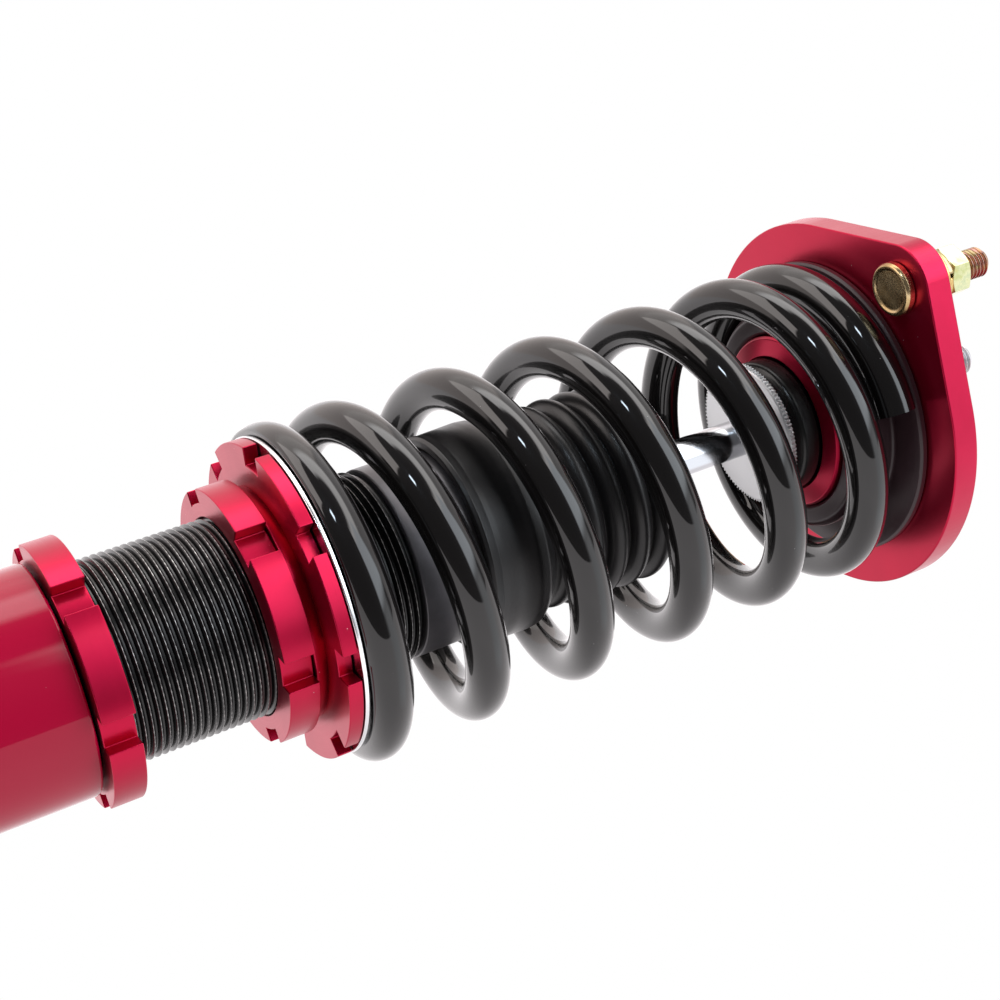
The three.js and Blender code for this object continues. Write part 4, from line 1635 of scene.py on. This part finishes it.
@dataclass(frozen=True)
class LowerBracket:
    """The painted tube that the damper screws into, with its bushed eye."""

    radius: float = 30.2
    bore: float = 26.8
    floor: float = -346.0
    base: float = -352.0
    eye: float = 21.0
    eye_bore: float = 16.0
    eye_width: float = 36.0
    eye_z: float = -370.0
    sleeve: float = 9.0
    sleeve_bore: float = 6.1

    def build(self) -> None:
        """Builds the tube with its eye, the bush and the sleeve."""
        top = Extent.of("lower_bracket").top
        tube = turned(
            "bracket_tube",
            [
                (0, self.base), (self.radius - 0.5, self.base, 4.5), (self.radius, self.base + 9, 2.0),
                (self.radius, top, 0.8), (self.bore, top, 0.4), (self.bore, self.floor, 1.0), (0, self.floor),
            ],
            160, 6,
        )
        half = self.eye_width / 2
        centre = (0.0, 0.0, self.eye_z)
        corners = ring_corners(self.eye_bore, self.eye, -half, half, 0.6, 1.2, 1.2)
        joined(tube, turned("eye", corners, 128, 4, across=True, centre=centre))
        weighted(tube)
        tube.data.materials.append(Finishes.tube_red.material())
        merged(tube, self.weld())
        finished(tube, Body.BRACKET, Finishes.tube_red, ["lower_bracket"])
        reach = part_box("eye_bush")[1].y / MM
        bore, outer = self.sleeve + 0.3, self.eye_bore - 0.3
        piece = turned(
            "eye_rubber",
            [
                (bore, -reach, 0.3), (outer - 3.4, -reach, 0.8), (outer - 2.2, 1.2 - reach, 0.8),
                (outer, 3.0 - reach, 0.6), (outer, reach - 3.0, 0.6), (outer - 2.2, reach - 1.2, 0.8),
                (outer - 3.4, reach, 0.8), (bore, reach, 0.3),
            ],
            112, 4, across=True, centre=centre,
        )
        finished(piece, Body.BRACKET, Finishes.bush_rubber, ["eye_bush"])
        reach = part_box("eye_sleeve")[1].y / MM
        corners = ring_corners(self.sleeve_bore, self.sleeve, -reach, reach, 0.5, 0.5, 0.5)
        piece = turned("eye_steel_sleeve", corners, 96, 4, across=True, centre=centre)
        finished(piece, Body.BRACKET, Finishes.sleeve_steel, ["eye_sleeve"])

    def weld(self) -> bpy.types.Object:
        """The rippled bead where the eye joins the tube's base."""
        half_x = math.sqrt(self.eye**2 - (self.base - self.eye_z) ** 2)
        sizes = {
            "Length": (2 * half_x + 2.4) * MM,
            "Width": (self.eye_width + 1.2) * MM,
            "Corner": 3.0 * MM,
            "Step": 0.35 * MM,
            "Bead": 2.1 * MM,
            "Ripple": 0.22 * MM,
            "Ripple pitch": 1.9 * MM,
            "Height": (self.base - 0.2) * MM,
        }
        tree = GeometryTree("weld_bead", sizes)
        graph, given = tree.graph, tree.inputs
        path = graph.add(
            "GeometryNodeCurvePrimitiveQuadrilateral", {"Width": given["Length"], "Height": given["Width"]}
        ).outputs[0]
        soft = tree.filleted(path, 6, given["Corner"])
        fine = graph.add("GeometryNodeResampleCurve", {"Curve": soft, "Length": given["Step"]}, mode="LENGTH")
        along = graph.add("GeometryNodeSplineParameter").outputs["Length"]
        phase = graph.math("MULTIPLY", graph.math("DIVIDE", along, given["Ripple pitch"]), 2 * math.pi)
        swell = graph.math("MULTIPLY_ADD", graph.math("SINE", phase), given["Ripple"], given["Bead"])
        section = tree.circle(16, 1.0)
        bead = graph.add(
            "GeometryNodeCurveToMesh", {"Curve": fine.outputs[0], "Profile Curve": section, "Scale": swell}
        ).outputs[0]
        tree.finish(tree.raised(bead, given["Height"]))
        return tree.piece("weld", Finishes.tube_red)


@dataclass(frozen=True)
class InnerParts:
    """The CAD nodes that stay as they are, inside the damper and its mounts."""

    finishes: dict = field(
        default_factory=lambda: {
            "bush_sleeve": Finishes.steel,
            "piston": Finishes.aluminium,
            "piston_band": Finishes.bronze,
            "rebound_stop": Finishes.bush_rubber,
            "piston_nut": Finishes.steel,
            "rod_guide": Finishes.bronze,
            "rod_seal": Finishes.bush_rubber,
            "rod_wiper": Finishes.bush_rubber,
            "base_plug": Finishes.steel,
            "floating_piston": Finishes.aluminium,
            "floating_piston_ring": Finishes.bush_rubber,
            "bump_stop": Finishes.urethane,
        }
    )

    def dress(self) -> None:
        """Gives each of them its finish."""
        for node, finish in self.finishes.items():
            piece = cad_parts[node]
            piece.data.materials.clear()
            piece.data.materials.append(finish.material())
            LOG.info("%s keeps its CAD mesh in %s", node, finish.name)


# ---- studio ----


@dataclass(frozen=True)
class Panel:
    """A bright patch of the room, by its angles in degrees round the back of the room and above the table."""

    name: str
    across: tuple[float, float]
    above: tuple[float, float]
    level: float
    tint: tuple[float, float, float]
    soft: float

    def window(self, graph: NodeGraph, angle: Socket, span: tuple[float, float]) -> Socket:
        """One inside a span of angles and zero outside it, with soft ends.

        Args:
            graph: the tree to add it to.
            angle: the angle's socket, in degrees.
            span: where the window opens and closes.

        Returns:
            The window's socket.
        """
        ends = []
        for place, half in zip(span, (self.soft, -self.soft)):
            ends.append(graph.smooth_step(angle, place - half, place + half))
        return graph.math("MULTIPLY", *ends)

    def over(self, graph: NodeGraph, colour: Socket | tuple, across: Socket, above: Socket) -> Socket:
        """Lays the patch over the light so far.

        Args:
            graph: the tree to add it to.
            colour: the light so far.
            across: the angle round the back of the room.
            above: the angle above the table.

        Returns:
            The light with the patch in it.
        """
        share = graph.math("MULTIPLY", self.window(graph, across, self.across), self.window(graph, above, self.above))
        return graph.mix(share, colour, rgb(*(self.level * part for part in self.tint)))


@dataclass(frozen=True)
class Studio:
    """The camera, the pale floor and the soft light round the coilover."""

    camera_place: tuple = (0.40443, 0.19091, -0.31597)
    right: tuple = (0.197669, 0.463638, 0.863694)
    up: tuple = (0.533513, -0.790039, 0.301997)
    forward: tuple = (-0.822369, -0.401096, 0.403523)
    lens: float = 64.24
    sensor: float = 36.0
    tilt: float = 36.8
    table_light: float = 1.5
    dark_light: float = 0.13
    room_tint: tuple = (1.0, 0.96, 0.97)
    horizon: float = 0.8
    clearance: float = 31.0
    floor_size: float = 2500.0
    panels: tuple = (
        Panel("low wall", (-95, 12), (-4, 24), 1.4, (1.0, 0.9, 0.87), 3.0),
        Panel("far wall", (12, 82), (-4, 44), 1.1, (1.0, 0.97, 0.97), 6.0),
        Panel("high wall", (-50, 12), (22, 46), 1.9, (1.0, 0.93, 0.9), 4.0),
        Panel("left panel", (-108, -48), (22, 50), 3.5, (1.0, 0.93, 0.9), 1.5),
        Panel("back panel", (-42, 128), (44, 68), 5.0, (1.0, 0.98, 0.97), 5.0),
        Panel("right panel", (80, 131), (16, 60), 4.2, (0.88, 0.94, 1.0), 5.0),
        Panel("right table", (96, 130), (-45, 18), 1.7, (0.95, 0.97, 1.0), 9.0),
        Panel("key spot", (-137, -123), (59, 65), 30.0, (0.75, 0.88, 1.0), 2.0),
    )

    def axes(self) -> tuple[Vector, Vector, Vector]:
        """The camera's right and the light's up and near directions."""
        right, up, back = Vector(self.right), Vector(self.up), -Vector(self.forward)
        angle = math.radians(self.tilt)
        lift = up * math.cos(angle) + back * math.sin(angle)
        near = back * math.cos(angle) - up * math.sin(angle)
        return right, lift.normalized(), near.normalized()

    def camera(self) -> None:
        """Stands the camera in its place."""
        data = bpy.data.cameras.new("camera")
        data.lens, data.sensor_width = self.lens, self.sensor
        data.clip_start, data.clip_end = 0.01, 50.0
        stand = bpy.data.objects.new("camera", data)
        bpy.context.scene.collection.objects.link(stand)
        turn = Matrix((self.right, self.up, -Vector(self.forward))).transposed()
        stand.matrix_world = Matrix.Translation(self.camera_place) @ turn.to_4x4()
        bpy.context.scene.camera = stand

    def floor(self) -> None:
        """Lays the pale floor below the eye, clear of the lowest pose."""
        build = bmesh.new()
        bmesh.ops.create_grid(build, x_segments=8, y_segments=8, size=self.floor_size)
        bmesh.ops.translate(build, vec=(0, 0, CAD_BOX[0].z / MM - self.clearance), verts=build.verts)
        floor = to_object("studio_floor", build)
        material = bpy.data.materials.new("pale_floor")
        material.use_nodes = True
        shader = material.node_tree.nodes["Principled BSDF"]
        shader.inputs["Base Color"].default_value = rgb(0.82, 0.82, 0.82)
        shader.inputs["Roughness"].default_value = 0.7
        floor.data.materials.append(material)
        floor.visible_glossy = floor.visible_diffuse = floor.visible_shadow = False

    def world(self) -> None:
        """Lights the room: a bright table below, soft panels round the back, dark on the camera's side."""
        right, lift, near = self.axes()
        world = bpy.data.worlds.new("studio")
        bpy.context.scene.world = world
        world.use_nodes = True
        world.node_tree.nodes.clear()
        graph = NodeGraph(world.node_tree)
        look = graph.add("ShaderNodeTexCoord").outputs["Generated"]
        side, height, front = (
            graph.vector_math("DOT_PRODUCT", look, tuple(axis)).outputs["Value"] for axis in (right, lift, near)
        )
        degrees = math.degrees(1)
        back = graph.math("MULTIPLY", front, -1.0)
        across = graph.math("MULTIPLY", graph.math("ARCTAN2", side, back), degrees)
        above = graph.math("MULTIPLY", graph.math("ARCSINE", height), degrees)
        fall = {"From Min": -90.0, "From Max": -30.0, "To Min": 0.5 * self.table_light, "To Max": self.table_light}
        table = graph.add("ShaderNodeMapRange", {"Value": above, **fall}).outputs[0]
        below = graph.smooth_step(above, self.horizon, -self.horizon)
        level = graph.math("MULTIPLY_ADD", below, graph.math("SUBTRACT", table, self.dark_light), self.dark_light)
        tinted = {0: self.room_tint, "Scale": level}
        light = graph.add("ShaderNodeVectorMath", tinted, operation="SCALE").outputs[0]
        for panel in self.panels:
            light = panel.over(graph, light, across, above)
        lit = graph.add("ShaderNodeBackground", {"Color": light, "Strength": 1.0})
        plain = graph.add("ShaderNodeBackground", {"Color": rgb(1, 1, 1), "Strength": 1.0})
        seen = graph.add("ShaderNodeLightPath").outputs["Is Camera Ray"]
        mixed = graph.add("ShaderNodeMixShader", {0: seen, 1: lit.outputs[0], 2: plain.outputs[0]})
        graph.add("ShaderNodeOutputWorld", {"Surface": mixed.outputs[0]})
        world.cycles.sampling_method = "MANUAL"
        world.cycles.sample_map_resolution = 1024

    def build(self) -> None:
        """Sets up the whole studio."""
        self.camera()
        self.floor()
        self.world()
        view = bpy.context.scene.view_settings
        view.view_transform = "Standard"
        view.look = "None"


def main() -> None:
    """Builds the coilover's pieces in order, from the top plate down, and then the studio."""
    logging.basicConfig(level=logging.INFO, format="%(name)s: %(message)s")
    TopPlate().build()
    reach = TopPlate().reach
    for side, x in (("left", -reach), ("right", reach)):
        StudSet(side, x).build()
    RodMount().build()
    PistonRod().build()
    CoilSpring().build()
    DamperBody().build()
    Boot().build()
    ThreadedRings().build()
    LowerBracket().build()
    InnerParts().dress()
    Studio().build()


if __name__ == "__main__":
    main()
